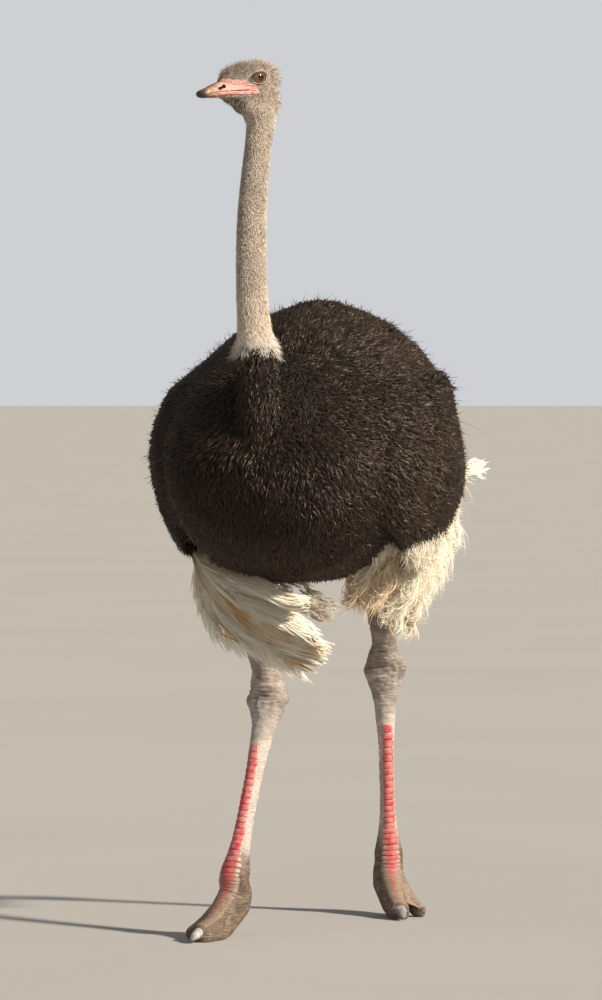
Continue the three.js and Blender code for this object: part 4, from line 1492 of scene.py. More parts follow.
def make_wisps(rng):
    """Sparse long barbs that stand out of the black coat along the back and the flanks."""
    skin = Holder.skin
    bed = Bed(0.032, (skin.zones["coat"] > 0.5) * ease(skin.points[:, 2], 1.0, 1.3), rng)
    bed.lay(body_flow(bed.roots, bed.out)[0])
    lie = unit(bed.flow + bed.out * bed.uniform(0.05, 0.35) + bed.across * bed.normal(0.4))
    axis = unit(bed.across * bed.normal(1.0) + bed.out * bed.normal(1.0))
    long, curl = rng.uniform(0.035, 0.062, bed.count), rng.uniform(0.1, 0.5, bed.count)
    lines = grow(bed.roots, bed.out + bed.flow * 0.8, lie, long, 7, 0.35, axis, curl)
    widths = taper(bed.count, 7, 0.7 * MM, (1, 1, 0.8, 0.6, 0))
    bed.dress(
        "black_wisps", lines, bed.out, widths, {"tone": rng.random(bed.count)}, black_finish(),
        "black_plumage"
    )


# ---- down of the neck and head
def down_finish():
    paint = colours()
    made = Finish("neck down", roughness=0.8, sheen_weight=0.12, sheen_roughness=0.6)
    tone, place, grey = made.value("tone"), made.value("place"), made.value("grey")
    light = made.mix(tone, shaded(paint.down, 0.74), shaded(paint.down, 1.25))
    dull = made.mix(tone, (0.19, 0.155, 0.128), (0.46, 0.39, 0.32))
    light = made.mix(grey, light, dull)
    shown = made.mix(tone.clamped(0.30, 0.16) * 0.85, light, paint.down_dark_and_shade)
    # Painted shade at the roots of the tufts.
    made.set("Base Color", made.mix((1 - place.clamped(0.0, 0.45)) * 0.35, shown, paint.down_dark_and_shade))
    made.set("Roughness", 0.75 + 0.15 * made.noise(200, 2))
    return made


DOWN_SHAPE = (0.9, 1.0, 0.7, 0.0)  # how wide a tuft of down is, from its root to its tip


def make_neck_down(rng):
    size = sizes()
    skin = Holder.skin
    height = skin.points[:, 2]
    share = skin.zones["down"] * (1 - skin.zones["face"]) * (height < NECK_DOWN[1]) * (height > NECK_DOWN[0])
    bed = Bed(size.down_spacing, share, rng)
    roots, count = bed.roots, bed.count
    bed.hang()
    bunch = (lumps(roots, 0.02, 3) - 0.5)[:, None]
    bed.flow = unit(bed.flow + bed.across * bed.normal(0.3) + bed.across * bunch)
    stand = rng.uniform(0.0, 0.42, count) + 0.8 * (rng.random(count) < 0.12)
    lie = unit(bed.flow + bed.out * stand[:, None])
    lower = 1 - ease(roots[:, 2], 1.46, 1.58)
    long = size.down_length * rng.uniform(0.7, 1.25, count) * (1 + 1.2 * lower)
    lines = grow(roots, bed.out * 0.9 + bed.flow * 0.9, lie, long, 4, 0.4)
    facing = unit(bed.out + bed.across * bed.normal(0.5))
    widths = taper(count, 4, 0.44 * MM * rng.uniform(0.7, 1.3, count), DOWN_SHAPE)
    speckle = lumps(roots * [1, 1, 1.3], 0.0034, 31)
    tone = np.clip(0.62 + (speckle - 0.46) * 0.95 + rng.normal(0, 0.17, count) + 0.3 * lower, 0, 1)
    grey = np.clip(0.10 + 0.5 * (lumps(roots, 0.05, 41) - 0.5), 0, 1) * (1 - lower)
    bed.dress("neck_down", lines, facing, widths, {"tone": tone, "grey": grey}, down_finish(), "neck_down")


def make_head_down(rng):
    """Short pale down on cheeks and throat, and long, thin, loose hair-like down on the crown and nape."""
    skin = Holder.skin
    share = (skin.zones["face"] <= 0.45) * skin.zones["down"] * (skin.points[:, 2] > HEAD_DOWN_FROM)
    bed = Bed(0.00135, share, rng)
    count, out = bed.count, bed.out
    local = to_head(bed.roots)
    _, y, z = local.T
    crown = ease(z, 6, 22)
    nape = ease(y, 22, 46) * (1 - crown)
    back = np.tile(HEAD @ np.array([0, 1.0, 0.2]), (count, 1))
    under = ease(-z, 28, 38) * ease(-y, 24, 46)
    drop = np.stack([np.zeros(count), 0.55 - 0.75 * under, -np.ones(count)], 1) @ HEAD.T
    bed.lay(along_surface(back * crown[:, None] + drop * (1 - crown)[:, None], out))
    veer = rng.normal(0, 0.35, count) + (lumps(local, 9, 52) - 0.5) * 1.4
    bed.flow = unit(bed.flow + bed.across * veer[:, None])
    chin = (1 - ease(z, -40, -30)) * (1 - ease(y, -44, -26))
    stray = (rng.random(count) < 0.17) & (crown + nape > 0.4)
    stand = 0.12 + 0.35 * crown + 0.35 * nape + 0.3 * chin + 1.5 * stray
    lie = unit(bed.flow + out * (stand * rng.uniform(0.4, 1.4, count))[:, None])
    long = (3.8 + 2.0 * crown + 2.4 * nape + 4.8 * chin) * rng.uniform(0.6, 1.25, count) * MM
    long = np.where(stray, long * rng.uniform(1.6, 2.8, count), long)
    axis = unit(rng.normal(0, 1, (count, 3)))
    lines = grow(bed.roots, out + bed.flow * 0.7, lie, long, 4, 0.4, axis, rng.uniform(0, 0.45, count))
    facing = unit(out + bed.across * bed.normal(0.8))
    half = (0.36 - 0.14 * crown - 0.06 * nape) * MM * rng.uniform(0.7, 1.3, count)
    widths = taper(count, 4, np.where(stray, 0.34 * MM, half), DOWN_SHAPE)
    speckle = lumps(local * [1, 1, 1.4], 3.4, 51)
    jowl = np.exp(-(((y + 2) / 26) ** 2) - ((z + 30) / 18) ** 2)
    tone = np.clip(0.66 + (speckle - 0.46) * 0.9 + rng.normal(0, 0.17, count) - 0.26 * jowl, 0, 1)
    front = ease(-y, 4, 40) * ease(z, -2, 10)
    # Under the bill (chin) the down is greyer: painted shade under the bill.
    grey = np.clip(
        0.08 + 0.7 * front + 0.2 * crown + 0.8 * chin + 0.3 * jowl + rng.normal(0, 0.12, count), 0, 1
    )
    # Darker down under the bill: painted shade.
    tone = np.clip(tone - 0.35 * chin - 0.4 * stray, 0, 1)
    bed.dress("head_down", lines, facing, widths, {"tone": tone, "grey": grey}, down_finish(), "neck_down")


def make_bristles(rng):
    """Sparse dark bristles under the bill and along the edge of the bare skin."""
    points, triangles, _ = solids_of(["bill_lower"])
    tree = BVHTree.FromPolygons(points.tolist(), triangles.tolist())
    roots, normals = [], []
    for _ in range(230):
        x, y = rng.uniform(-17, 17), -104 + 62 * math.sqrt(rng.random())
        hit, normal, _, _ = tree.ray_cast(Vector(from_head([x, y, -70])), Vector(HEAD[:, 2]))
        if hit is not None:
            roots.append(np.array(hit))
            normals.append(np.array(normal))
    roots, normals = np.array(roots), np.array(normals)
    count = len(roots)
    flow = along_surface(np.tile(HEAD @ np.array([0, 0.8, -0.35]), (count, 1)), normals)
    long = rng.uniform(4, 9, count) * MM * ease(to_head(roots)[:, 1], -120, -70)
    lines = grow(
        roots, normals * 0.8 + flow, unit(flow + normals * rng.uniform(0.1, 0.7, (count, 1))), long, 4, 0.4
    )
    finish = Finish("bristle", roughness=0.6)
    finish.set("Base Color", finish.mix(finish.value("tone"), (0.03, 0.022, 0.017), (0.16, 0.12, 0.09)))
    uv = Holder.skin.nearest(roots)[2]
    widths = taper(count, 4, 0.22 * MM, (1, 0.9, 0.6, 0))
    facing = unit(rng.normal(0, 1, (count, 3)))
    strand_piece("bristles", lines, facing, widths, uv, {"tone": rng.random(count)}, finish, "neck_down")


def make_collar(rng):
    """The fluffy white collar over the black feathers, where the neck's down ends, and the streaked
    fringe below it."""
    skin = Holder.skin
    height = sizes().collar_height
    x, y, z = skin.points.T
    band = ease(z, height - 0.052, height - 0.02) * (1 - ease(z, height + 0.005, height + 0.05))
    bed = Bed(0.0017, band * (np.hypot(x, y - COLLAR_Y) < 0.09), rng)
    roots, count = bed.roots, bed.count
    bed.hang()
    clump = np.clip(lumps(roots * [1, 1, 0.3], 0.013, 61) * 1.5 - 0.25, 0, 1)
    bed.flow = unit(bed.flow + bed.across * ((clump - 0.5) * 1.8 + rng.normal(0, 0.3, count))[:, None])
    low = 1 - ease(roots[:, 2], height - 0.03, height + 0.02)
    stand = 0.02 + (0.06 + 0.36 * clump) * rng.uniform(0.2, 1.3, count) * low
    lie = unit(bed.flow + bed.out * stand[:, None])
    long = (8 + (2 + 34 * clump**1.5) * low) * rng.uniform(0.55, 1.2, count) * MM
    axis = unit(bed.out * bed.normal(1) + bed.across)
    lines = grow(roots, bed.out * 0.8 + bed.flow, lie, long, 6, 0.3, axis, rng.uniform(-0.6, 0.6, count))
    facing = unit(bed.out + bed.across * bed.normal(0.5))
    widths = taper(count, 6, 0.36 * MM * rng.uniform(0.7, 1.4, count), (0.8, 1.0, 0.9, 0.6, 0.0))
    made = Finish("collar", roughness=0.75, sheen_weight=0.15)
    tone, place = made.value("tone"), made.value("place")
    pale = made.mix(tone, (0.66, 0.57, 0.47), (0.93, 0.88, 0.80))
    streak = made.mix(tone, (0.14, 0.09, 0.055), (0.40, 0.28, 0.17))
    down_here = made.height().clamped(height - 0.036, height - 0.075)
    made.set("Base Color", made.mix(down_here * made.noise(120, 2).clamped(0.42, 0.58) * place, pale, streak))
    bed.dress("collar", lines, facing, widths, {"tone": rng.random(count)}, made, "neck_down")


# ---- plumes
# Each lobe: its middle line (mm), its half widths along it, and its thickness.
PLUMES = {
    "left_tuft": [
        ([(290, 310, 1106), (303, 385, 1104), (312, 440, 1102), (322, 490, 1104)], (16, 18, 14, 6), 12)
    ],
    "left_rear": [
        ([(258, 250, 1000), (248, 282, 945), (232, 298, 885), (206, 305, 815)], (50, 54, 44, 18), 24)
    ],
    "left_middle": [
        ([(258, 110, 960), (230, 125, 880), (204, 138, 800), (194, 145, 705)], (44, 50, 42, 16), 24)
    ],
    "left_front": [
        ([(252, 40, 940), (232, 36, 890), (200, 32, 840), (166, 28, 800)], (40, 46, 40, 15), 26),
        ([(196, -30, 915), (172, -34, 865), (144, -34, 825), (110, -30, 797)], (40, 46, 36, 14), 26),
    ],
    "right_fluff": [
        ([(-170, -60, 895), (-70, -110, 842), (30, -150, 802), (112, -168, 766)], (32, 38, 36, 20), 16)
    ],
    "right_front": [
        (
            [(-292, 60, 940), (-236, -80, 832), (-158, -160, 742), (-50, -200, 700), (78, -192, 636)],
            (34, 42, 40, 34, 12), 14
        ),
        (
            [(-280, -20, 935), (-205, -130, 850), (-104, -205, 770), (4, -226, 722), (118, -212, 680)],
            (34, 40, 38, 32, 12), 14
        ),
        (
            [(-255, -80, 920), (-172, -180, 860), (-76, -232, 804), (23, -250, 748), (103, -238, 705)],
            (32, 38, 36, 28, 12), 14
        ),
        (
            [(-222, -140, 895), (-130, -222, 863), (-34, -262, 824), (34, -272, 799), (76, -270, 800)],
            (30, 34, 28, 20, 10), 14
        ),
    ],
    "right_rear": [
        ([(-276, 230, 1000), (-282, 300, 930), (-262, 335, 860), (-222, 345, 790)], (74, 84, 68, 24), 26)
    ],
    "right_tuft": [
        ([(-288, 300, 1110), (-303, 385, 1096), (-314, 450, 1078), (-320, 500, 1060)], (26, 34, 30, 14), 14)
    ],
}
# The way across each group's lobes.
PLUME_FACES = {
    "left_tuft": (0, 0.1, 1), "left_rear": (0.4, 0.9, 0), "left_middle": (1, 0.25, 0),
    "left_front": (1, 0.3, 0.35), "right_fluff": (0.3, 0, 1), "right_front": (0.3, 0, 1),
    "right_rear": (-0.4, 0.9, 0), "right_tuft": (0, 0.1, 1),
}
TAIL_WIDTHS, TAIL_THICK = (66, 72, 62, 26), 78


def tail_line(x):
    """The middle line of the tail's lobe that ends about x to the side."""
    tip = (x * 1.3, 830 - abs(x) * 0.25, 1005 - abs(x) * 0.2)
    return [(x * 0.5, 505, 1225), (x * 0.85, 630, 1205), (x * 1.15, 745, 1128), tip]


TAIL_LOBES = [(tail_line(x), TAIL_WIDTHS, TAIL_THICK) for x in (-118, -60, 0, 60, 118)]


PLUME_RINGS = 8
SNAKE = 0.22  # how far the sweeping plumes snake, in half widths of their lobe
TO_LIGHT = np.array([0.45, -0.1, 0.4])  # vanes catch the light from above, as loose plumes do


def plume_finish(name, pale, stained, shade):
    made = Finish(name, roughness=0.55, sheen_weight=0.15, sheen_roughness=0.5)
    tone, place, stain = made.value("tone"), made.value("place"), made.value("stain")
    patchy = made.noise(11, 3).clamped(0.36, 0.60)
    light = made.mix(tone, shaded(pale, 0.72), shaded(pale, 1.16))
    shown = made.mix(stain * (0.3 + 0.7 * patchy), light, stained)
    shown = made.mix((1 - place.clamped(0.0, 0.35)) * 0.28, shown, shade)
    made.set("Base Color", shown)
    made.set("Roughness", 0.48 + 0.2 * made.noise(120, 2))
    return made


def lobe_frame(lobe, face):
    """A lobe's middle line with its travel, its way across and out, and its half width, at 80 places."""
    path, widths, thick = lobe
    centre, travel = curve_through(row(path), 80)
    across = along_surface(np.tile(np.array(face, float), (80, 1)), travel)
    width = np.interp(np.linspace(0, 1, 80), np.linspace(0, 1, len(widths)), widths) * MM
    return centre, travel, across, np.cross(travel, across), width, thick * MM


def at_share(rows, t):
    """Rows of numbers read at shares of their length, with straight lines between them."""
    place = np.clip(t, 0, 1) * (len(rows) - 1)
    low = np.minimum(place.astype(int), len(rows) - 2)
    part = place - low
    part = part[..., None] if rows.ndim > 1 else part
    return rows[low] * (1 - part) + rows[low + 1] * part


class Barbs:
    """Strands gathered from many plumes, ready to be made into one piece."""

    def __init__(self):
        self.lines, self.facings, self.halves, self.tones, self.stains = [], [], [], [], []

    def take(self, lines, facing, halves, tone, stain):
        for group, new in zip((self.lines, self.facings, self.halves, self.tones, self.stains),
                              (lines, facing, halves, tone, stain)):
            group.append(new)

    def make(self, name, finish, slot, *replaced):
        lines, facing, halves, tone, stain = map(
            np.concatenate, (self.lines, self.facings, self.halves, self.tones, self.stains)
        )
        uv = Holder.skin.nearest(lines[:, 0])[2]
        values = {"tone": tone, "stain": stain}
        strand_piece(name, lines, facing, halves, uv, values, finish, slot, *replaced)


def between(first, second):
    """A lobe halfway between two others."""
    path = [tuple((a + b) / 2 for a, b in zip(*pair)) for pair in zip(first[0], second[0])]
    return path, tuple((a + b) / 2 for a, b in zip(first[1], second[1])), (first[2] + second[2]) / 2


def wave(rng, knots, at):
    """A smooth random line from -1 to 1, read at shares of its length."""
    marks = rng.uniform(-1, 1, knots)
    place = np.clip(at, 0, 1) * (knots - 1)
    low = np.minimum(place.astype(int), knots - 2)
    return marks[low] + (marks[low + 1] - marks[low]) * ease(place - low, 0, 1)


def in_bunches(rng, count, size):
    """A number from -1 to 1 for each of count neighbours, the same within bunches of about size."""
    steps = np.cumsum(rng.random(count) < 1.0 / size)
    return rng.uniform(-1, 1, count + 1)[steps]


def sweeping_plumes(barbs, lobe, face, rng, *, feathers, each, reach, spread, fluff, stain):
    """Long plumes that overlap down a lobe. Each has a shaft and two silky vanes: barbs in order down the
    shaft that lie side by side, sweep along with it and part into locks at their ends."""
    centre, _, across, out, width, thick = lobe_frame(lobe, face)
    long = np.linalg.norm(np.diff(centre, axis=0), axis=1).sum()
    share = np.linspace(0, 1, PLUME_RINGS)[None]
    for feather in range(feathers):
        level = (feather + 0.5) / feathers
        lateral = (level * 2 - 1) * (1 - spread)
        lift = 0.75 - 1.5 * level + rng.uniform(-0.2, 0.2)
        end = rng.uniform(0.92, 1.0)
        swing, phase = rng.uniform(0.5, 1.0), rng.uniform(0, 6.28)
        own_stain = stain * (0.2 + 1.8 * (rng.random() < 0.5))
        t0 = np.sort(rng.uniform(-0.03, end - 0.04, each))[:, None]
        sign = np.where(np.arange(each) % 2, 1.0, -1.0)[:, None]
        lock, second, third = (in_bunches(rng, each, 9)[:, None] for _ in range(3))
        reached = reach * MM / long * (1 + 0.28 * lock + rng.normal(0, 0.05, (each, 1)))
        t1 = np.minimum(t0 + reached, end + 0.012 + 0.03 * second)
        t = t0 + (t1 - t0) * share
        wide = spread * (1 + 0.34 * second + rng.normal(0, 0.03, (each, 1)))
        sideways = lateral + sign * wide * (1 - (1 - share) ** 1.6) * (0.9 + 0.2 * share)
        sideways = sideways + 0.12 * third * np.sin(share * 4.5 + lock * 3)
        sideways = sideways + SNAKE * swing * np.sin(t * 9.0 + phase)
        dome = -0.55 * ((sideways - lateral) / spread) ** 2
        rise = lift + dome + (third * 0.6 + rng.normal(0, fluff * 0.08, (each, 1))) * share
        lines = at_share(centre, t) + at_share(across, t) * (at_share(width, t) * sideways)[..., None]
        lines += at_share(out, t) * (thick * rise)[..., None]
        loose = rng.random(each) < 0.05 * (1 + fluff)
        lines[loose] += rng.normal(0, 0.007 * fluff, (loose.sum(), 1, 3)) * (share**2)[..., None]
        middle = np.clip(t[:, PLUME_RINGS // 2], 0, 1)
        facing = at_share(out, middle) + at_share(across, middle) * sign * 0.2 + TO_LIGHT * 2
        facing = facing + rng.normal(0, 0.1, (each, 3))
        halves = taper(each, PLUME_RINGS, rng.uniform(0.55, 1.0, each) * MM, (0.9, 1.0, 1.0, 0.9, 0.65, 0.0))
        tone = np.clip(0.62 + 0.30 * lock[:, 0] + rng.normal(0, 0.12, each), 0, 1)
        streaked = own_stain * np.clip(0.6 + 0.6 * wave(rng, 7, t0[:, 0]), 0, 1)
        streaked = streaked * np.where(sign[:, 0] > 0, 0.55, 1.0)
        barbs.take(lines, unit(facing), halves, tone, np.clip(streaked, 0, 1))
        s = np.linspace(0, end, PLUME_RINGS)
        shaft = at_share(centre, s) + at_share(across, s) * (at_share(width, s) * lateral)[:, None]
        shaft += at_share(out, s) * (thick * (lift + 0.10))
        halves = taper(1, PLUME_RINGS, 1.0 * MM, (1, 0.9, 0.8, 0.6, 0.35, 0))
        barbs.take(
            shaft[None], out[40][None], halves, np.array([0.75]), np.array([min(1.0, 0.2 + own_stain)])
        )


def combed_barbs(barbs, lobe, face, rng, *, count, reach):
    """Barbs that hang from a lobe's lower edge and sweep forwards."""
    centre, travel, across, out, width, thick = lobe_frame(lobe, face)
    t = np.sort(rng.uniform(0.10, 0.93, count))
    lock, second = in_bunches(rng, count, 8), in_bunches(rng, count, 8)
    sides, outward, forward = at_share(across, t), at_share(out, t), at_share(travel, t)
    roots = at_share(centre, t) - sides * (at_share(width, t) * rng.uniform(0.35, 0.8, count))[:, None]
    roots += outward * (thick * rng.uniform(-0.5, 0.6, count))[:, None]
    start = -sides * 0.9 + forward * (0.6 + 0.35 * lock)[:, None]
    lie = unit(forward - sides * (0.10 + 0.15 * second)[:, None] + outward * rng.normal(0, 0.12, (count, 1)))
    long = reach * MM * (1 + 0.35 * lock) * rng.uniform(0.85, 1.1, count)
    lines = grow(roots, start, lie, long, PLUME_RINGS, 0.34)
    halves = taper(count, PLUME_RINGS, rng.uniform(0.5, 0.85, count) * MM, (0.9, 1.0, 0.95, 0.8, 0.5, 0.0))
    facing = unit(outward + TO_LIGHT + rng.normal(0, 0.15, (count, 3)))
    barbs.take(lines, facing, halves, np.clip(0.6 + 0.3 * second, 0, 1), np.full(count, 0.05))


def curly_plumes(
    barbs, lobe, face, rng, *, feathers, each, reach, curl, fluff, stain, droop=0.15, blow=(0, 0, 0), dim=0.0
):
    """Loose plumes whose barbs leave the shaft at a wide slant, in locks, and hook over at their tips."""
    centre, travel, across, out, width, thick = lobe_frame(lobe, face)
    for feather in range(feathers):
        lateral = (feather / max(feathers - 1, 1) * 2 - 1) * 0.8
        lift = rng.uniform(-0.9, 0.9)
        end = rng.uniform(0.8, 0.97)
        t = np.sort(rng.uniform(0.0, end, each))
        own_stain = stain * rng.random() ** 1.5 * 1.6
        lock, second, third, fourth = (in_bunches(rng, each, 7) for _ in range(4))
        sign = np.where(second > -0.1, 1.0, -1.0)
        sides, outward, forward = at_share(across, t), at_share(out, t), at_share(travel, t)
        roots = at_share(centre, t) + sides * (at_share(width, t) * lateral)[:, None]
        roots += outward * (thick * lift * (1 - 0.5 * t))[:, None]
        start = forward + sides * (sign * (0.7 + 0.5 * lock) + rng.normal(0, 0.1, each))[:, None]
        start += outward * (rng.normal(0, fluff * 0.25, each) + fluff * (0.35 + 0.9 * third))[:, None]
        lie = forward + sides * (sign * (0.2 + 0.3 * lock))[:, None] - UP * droop + np.array(blow)
        lie = unit(lie + outward * (fluff * 0.5 * fourth + rng.normal(0, 0.08, each))[:, None])
        long = (1 - t * 0.5) * reach * (1 + 0.3 * third) * rng.uniform(0.85, 1.12, each) * MM
        stray = rng.random(each) < 0.05
        long = np.where(stray, long * 1.5, long)
        axis = unit(outward * -sign[:, None] + rng.normal(0, 0.18, (each, 3)))
        bend = curl * (0.65 + 0.5 * fourth) * rng.uniform(0.75, 1.2, each)
        lines = grow(roots, start, lie, long, PLUME_RINGS, 0.26, axis, bend)
        facing = unit(outward + TO_LIGHT * 0.6 + rng.normal(0, 0.2, (each, 3)))
        halves = taper(each, PLUME_RINGS, rng.uniform(0.4, 0.9, each) * MM, (0.8, 1.0, 0.95, 0.8, 0.5, 0.0))
        # dim lowers the tone of every barb: painted shade for lobes that lie back under others.
        tone = np.clip(0.55 - dim + 0.38 * third + rng.normal(0, 0.12, each), 0, 1)
        barbs.take(lines, facing, halves, tone, np.clip(own_stain * (0.7 + 0.5 * wave(rng, 8, t)), 0, 1))


WIND = (0.45, -0.05, 0.10)
COMB = {"count": 560, "reach": 120 * 0.44}
PLUME_STYLES = {
    "right_fluff": (
        curly_plumes,
        dict(feathers=6, each=210, reach=60, curl=0.7, fluff=0.6, stain=1.4, dim=0.35, blow=(0.5, 0, 0)),
    ),
    "right_front": (
        sweeping_plumes, dict(feathers=3, each=400, reach=120, spread=0.45, fluff=0.5, stain=0.6)
    ),
    "right_rear": (curly_plumes, dict(feathers=9, each=300, reach=96, curl=0.5, fluff=0.35, stain=0.3)),
    "right_tuft": (curly_plumes, dict(feathers=6, each=110, reach=66, curl=0.2, fluff=0.25, stain=0.1)),
    "left_tuft": (
        curly_plumes, dict(
            feathers=5, each=64, reach=42, curl=0.35, fluff=0.3, stain=0, droop=0, blow=(0.2, 0, 0)
        ),
    ),
    "left_rear": (
        curly_plumes, dict(
            feathers=9, each=240, reach=80, curl=1.15, fluff=0.45, stain=0.12, blow=(0.25, 0, 0.05)
        ),
    ),
    "left_middle": (
        curly_plumes, dict(feathers=8, each=240, reach=84, curl=1.5, fluff=0.5, stain=0.75, blow=WIND)
    ),
    "left_front": (
        curly_plumes, dict(
            feathers=7, each=230, reach=74, curl=1.6, fluff=0.5, stain=0.85, dim=0.12, blow=WIND
        ),
    ),
}


def make_plumes(rng):
    paint = colours()
    finish = plume_finish("white plumes", paint.cream, paint.ochre, (0.30, 0.23, 0.19))
    lobes = {name: list(group) for name, group in PLUMES.items()}
    lobes["left_rear"].append(between(PLUMES["left_rear"][0], PLUMES["left_middle"][0]))
    lobes["left_middle"].append(between(PLUMES["left_middle"][0], PLUMES["left_front"][0]))
    for first, second in zip(PLUMES["right_front"][:2], PLUMES["right_front"][1:3]):
        lobes["right_front"].append(between(first, second))
    for name, (lay, style) in PLUME_STYLES.items():
        barbs = Barbs()
        for index, lobe in enumerate(lobes[name]):
            lay(barbs, lobe, PLUME_FACES[name], rng, **style)
            if name == "right_front" and index == 0:
                combed_barbs(barbs, lobe, PLUME_FACES[name], rng, **COMB)
        solid = "plumes_right_front" if name == "right_fluff" else f"plumes_{name}"
        barbs.make(f"plumes_{name}_barbs", finish, "white_plume", solid)
    return finish


def make_wing_edges(finish, rng):
    """The white feathers along the lower edge of each wing, in locks that hang and hook backwards."""
    skin = Holder.skin
    bed = Bed(0.0043, wing_edge(skin.points) * (skin.zones["coat"] > 0.5), rng)
    roots, count = bed.roots, bed.count
    lock = lumps(roots * [0.4, 1, 0.4], 0.016, 91) - 0.5
    other = lumps(roots * [0.4, 1, 0.4], 0.013, 92) - 0.5
    flow = body_flow(roots, bed.out)[0] * 0.5 - UP + np.array([0, 0.35, 0])
    flow = unit(along_surface(flow, bed.out) + np.array([0, 1, 0]) * lock[:, None] * 1.6)
    outward = np.array([1.0, 0, 0]) * np.sign(roots[:, :1])
    start = flow + bed.out * (0.35 + 0.6 * other[:, None])
    lie = flow * 0.8 - UP * 0.7 + outward * (0.02 + 0.4 * other)[:, None]
    lie = unit(lie + rng.normal(0, 0.08, (count, 3)))
    long = 0.064 * (1 + 0.9 * lock) * rng.uniform(0.8, 1.15, count)
    axis = unit(outward * np.sign(lock)[:, None] + rng.normal(0, 0.2, (count, 3)))
    lines = grow(roots, start, lie, long, 7, 0.28, axis, rng.uniform(0.3, 1.3, count))
    widths = taper(count, 7, rng.uniform(0.5, 0.95, count) * MM, (0.8, 1.0, 0.95, 0.8, 0.5, 0.0))
    facing = unit(bed.out + rng.normal(0, 0.25, (count, 3)))
    values = {
        "tone": np.clip(0.6 + 1.1 * other + rng.normal(0, 0.1, count), 0, 1), "stain": np.full(count, 0.08)
    }
    bed.dress("wing_edge_barbs", lines, facing, widths, values, finish, "white_plume")


def make_tail(rng):
    finish = plume_finish("tail plumes", (0.66, 0.56, 0.43), (0.34, 0.20, 0.10), (0.20, 0.14, 0.10))
    barbs = Barbs()
    gaps = [between(first, second) for first, second in zip(TAIL_LOBES, TAIL_LOBES[1:])]
    style = dict(feathers=6, each=150, reach=125, curl=0.3, fluff=0.35, stain=0.7, droop=0.3)
    for lobe in (*TAIL_LOBES, *gaps):
        curly_plumes(barbs, lobe, (1, 0, 0), rng, **style)
    barbs.make("tail_barbs", finish, "tail_plume", "tail")


# ---- operators
class OSTRICH_OT_studio(bpy.types.Operator):
    """Make the pale floor, the soft lights and the camera"""

    bl_idname = "ostrich.studio"
    bl_label = "Studio"
    bl_options = {"REGISTER", "UNDO"}

    def execute(self, _context):
        studio = bpy.context.scene.ostrich_studio
        make_floor(studio.floor)
        make_lights()
        make_camera(studio)
        return {"FINISHED"}


class OSTRICH_OT_skin(bpy.types.Operator):
    """Make the one skin under feathers and down"""

    bl_idname = "ostrich.skin"
    bl_label = "Skin"
    bl_options = {"REGISTER", "UNDO"}

    def execute(self, _context):
        Holder.skin = Surface(make_skin())
        return {"FINISHED"}


class OSTRICH_OT_horn(bpy.types.Operator):
    """Make the two halves of the bill and the two claws"""

    bl_idname = "ostrich.horn"
    bl_label = "Bill and claws"
    bl_options = {"REGISTER", "UNDO"}

    def execute(self, _context):
        finish = bill_finish()
        for node in BILL_NODES:
            points, triangles = smooth_copy(node, 1.3 * MM)
            points = points + bill_shift(points, corner_normals(points, triangles))
            made = new_mesh(f"{node}_horn", within_box(points), triangles, None, bill_values(points))
            piece(made, finish, "bill", node)
        finish = claw_finish()
        for node, side in zip(CLAW_NODES, SIDES):
            points, triangles = smooth_copy(node, 1.2 * MM)
            to_tip = np.linalg.norm(points - in_foot(side, [CLAW_TIP])[0], axis=1)
            darker_near_tip = {"darker_near_tip": 1 - ease(to_tip, 0.006, 0.03)}
            piece(new_mesh(f"{node}_horn", within_box(points), triangles, None, darker_near_tip), finish, "claw", node)
        return {"FINISHED"}


class OSTRICH_OT_eyes(bpy.types.Operator):
    """Make the eyes, their lids and lashes"""

    bl_idname = "ostrich.eyes"
    bl_label = "Eyes"
    bl_options = {"REGISTER", "UNDO"}

    def execute(self, _context):
        iris, lid = eye_finish(), lid_finish()
        for side in SIDES:
            piece(make_eye(side), iris, "eye", f"eye_{side}")
            piece(make_lids(side), lid, "bare_skin")
        make_lashes(np.random.default_rng(11))
        return {"FINISHED"}


class OSTRICH_OT_scutes(bpy.types.Operator):
    """Make the plates down the shanks and over the toes"""

    bl_idname = "ostrich.scutes"
    bl_label = "Scutes"
    bl_options = {"REGISTER", "UNDO"}

    def execute(self, _context):
        make_scutes(np.random.default_rng(21))
        return {"FINISHED"}


class OSTRICH_OT_coat(bpy.types.Operator):
    """Make the black coat of curled locks"""

    bl_idname = "ostrich.coat"
    bl_label = "Black coat"
    bl_options = {"REGISTER", "UNDO"}

    def execute(self, _context):
        make_coat(np.random.default_rng(31))
        make_wisps(np.random.default_rng(32))
        return {"FINISHED"}


class OSTRICH_OT_down(bpy.types.Operator):
    """Make the down of neck and head, and the white collar"""

    bl_idname = "ostrich.down"
    bl_label = "Down and collar"
    bl_options = {"REGISTER", "UNDO"}

    def execute(self, _context):
        make_neck_down(np.random.default_rng(41))
        make_head_down(np.random.default_rng(42))
        make_bristles(np.random.default_rng(44))
        make_collar(np.random.default_rng(43))
        return {"FINISHED"}


class OSTRICH_OT_plumes(bpy.types.Operator):
    """Make the white plumes of the wings and the tail's plumes"""

    bl_idname = "ostrich.plumes"
    bl_label = "Plumes"
    bl_options = {"REGISTER", "UNDO"}

    def execute(self, _context):
        finish = make_plumes(np.random.default_rng(51))
        make_wing_edges(finish, np.random.default_rng(53))
        make_tail(np.random.default_rng(52))
        return {"FINISHED"}


class OSTRICH_PT_panel(bpy.types.Panel):
    bl_idname = "OSTRICH_PT_panel"
    bl_label = "Male Ostrich"
    bl_space_type = "VIEW_3D"
    bl_region_type = "UI"
    bl_category = "Ostrich"

    def draw(self, context):
        for group in (
            context.scene.ostrich_sizes, context.scene.ostrich_colours, context.scene.ostrich_studio
        ):
            box = self.layout.box()
            for label in group.__annotations__:
                box.prop(group, label)
        for operator in OPERATORS:
            self.layout.operator(operator.bl_idname)


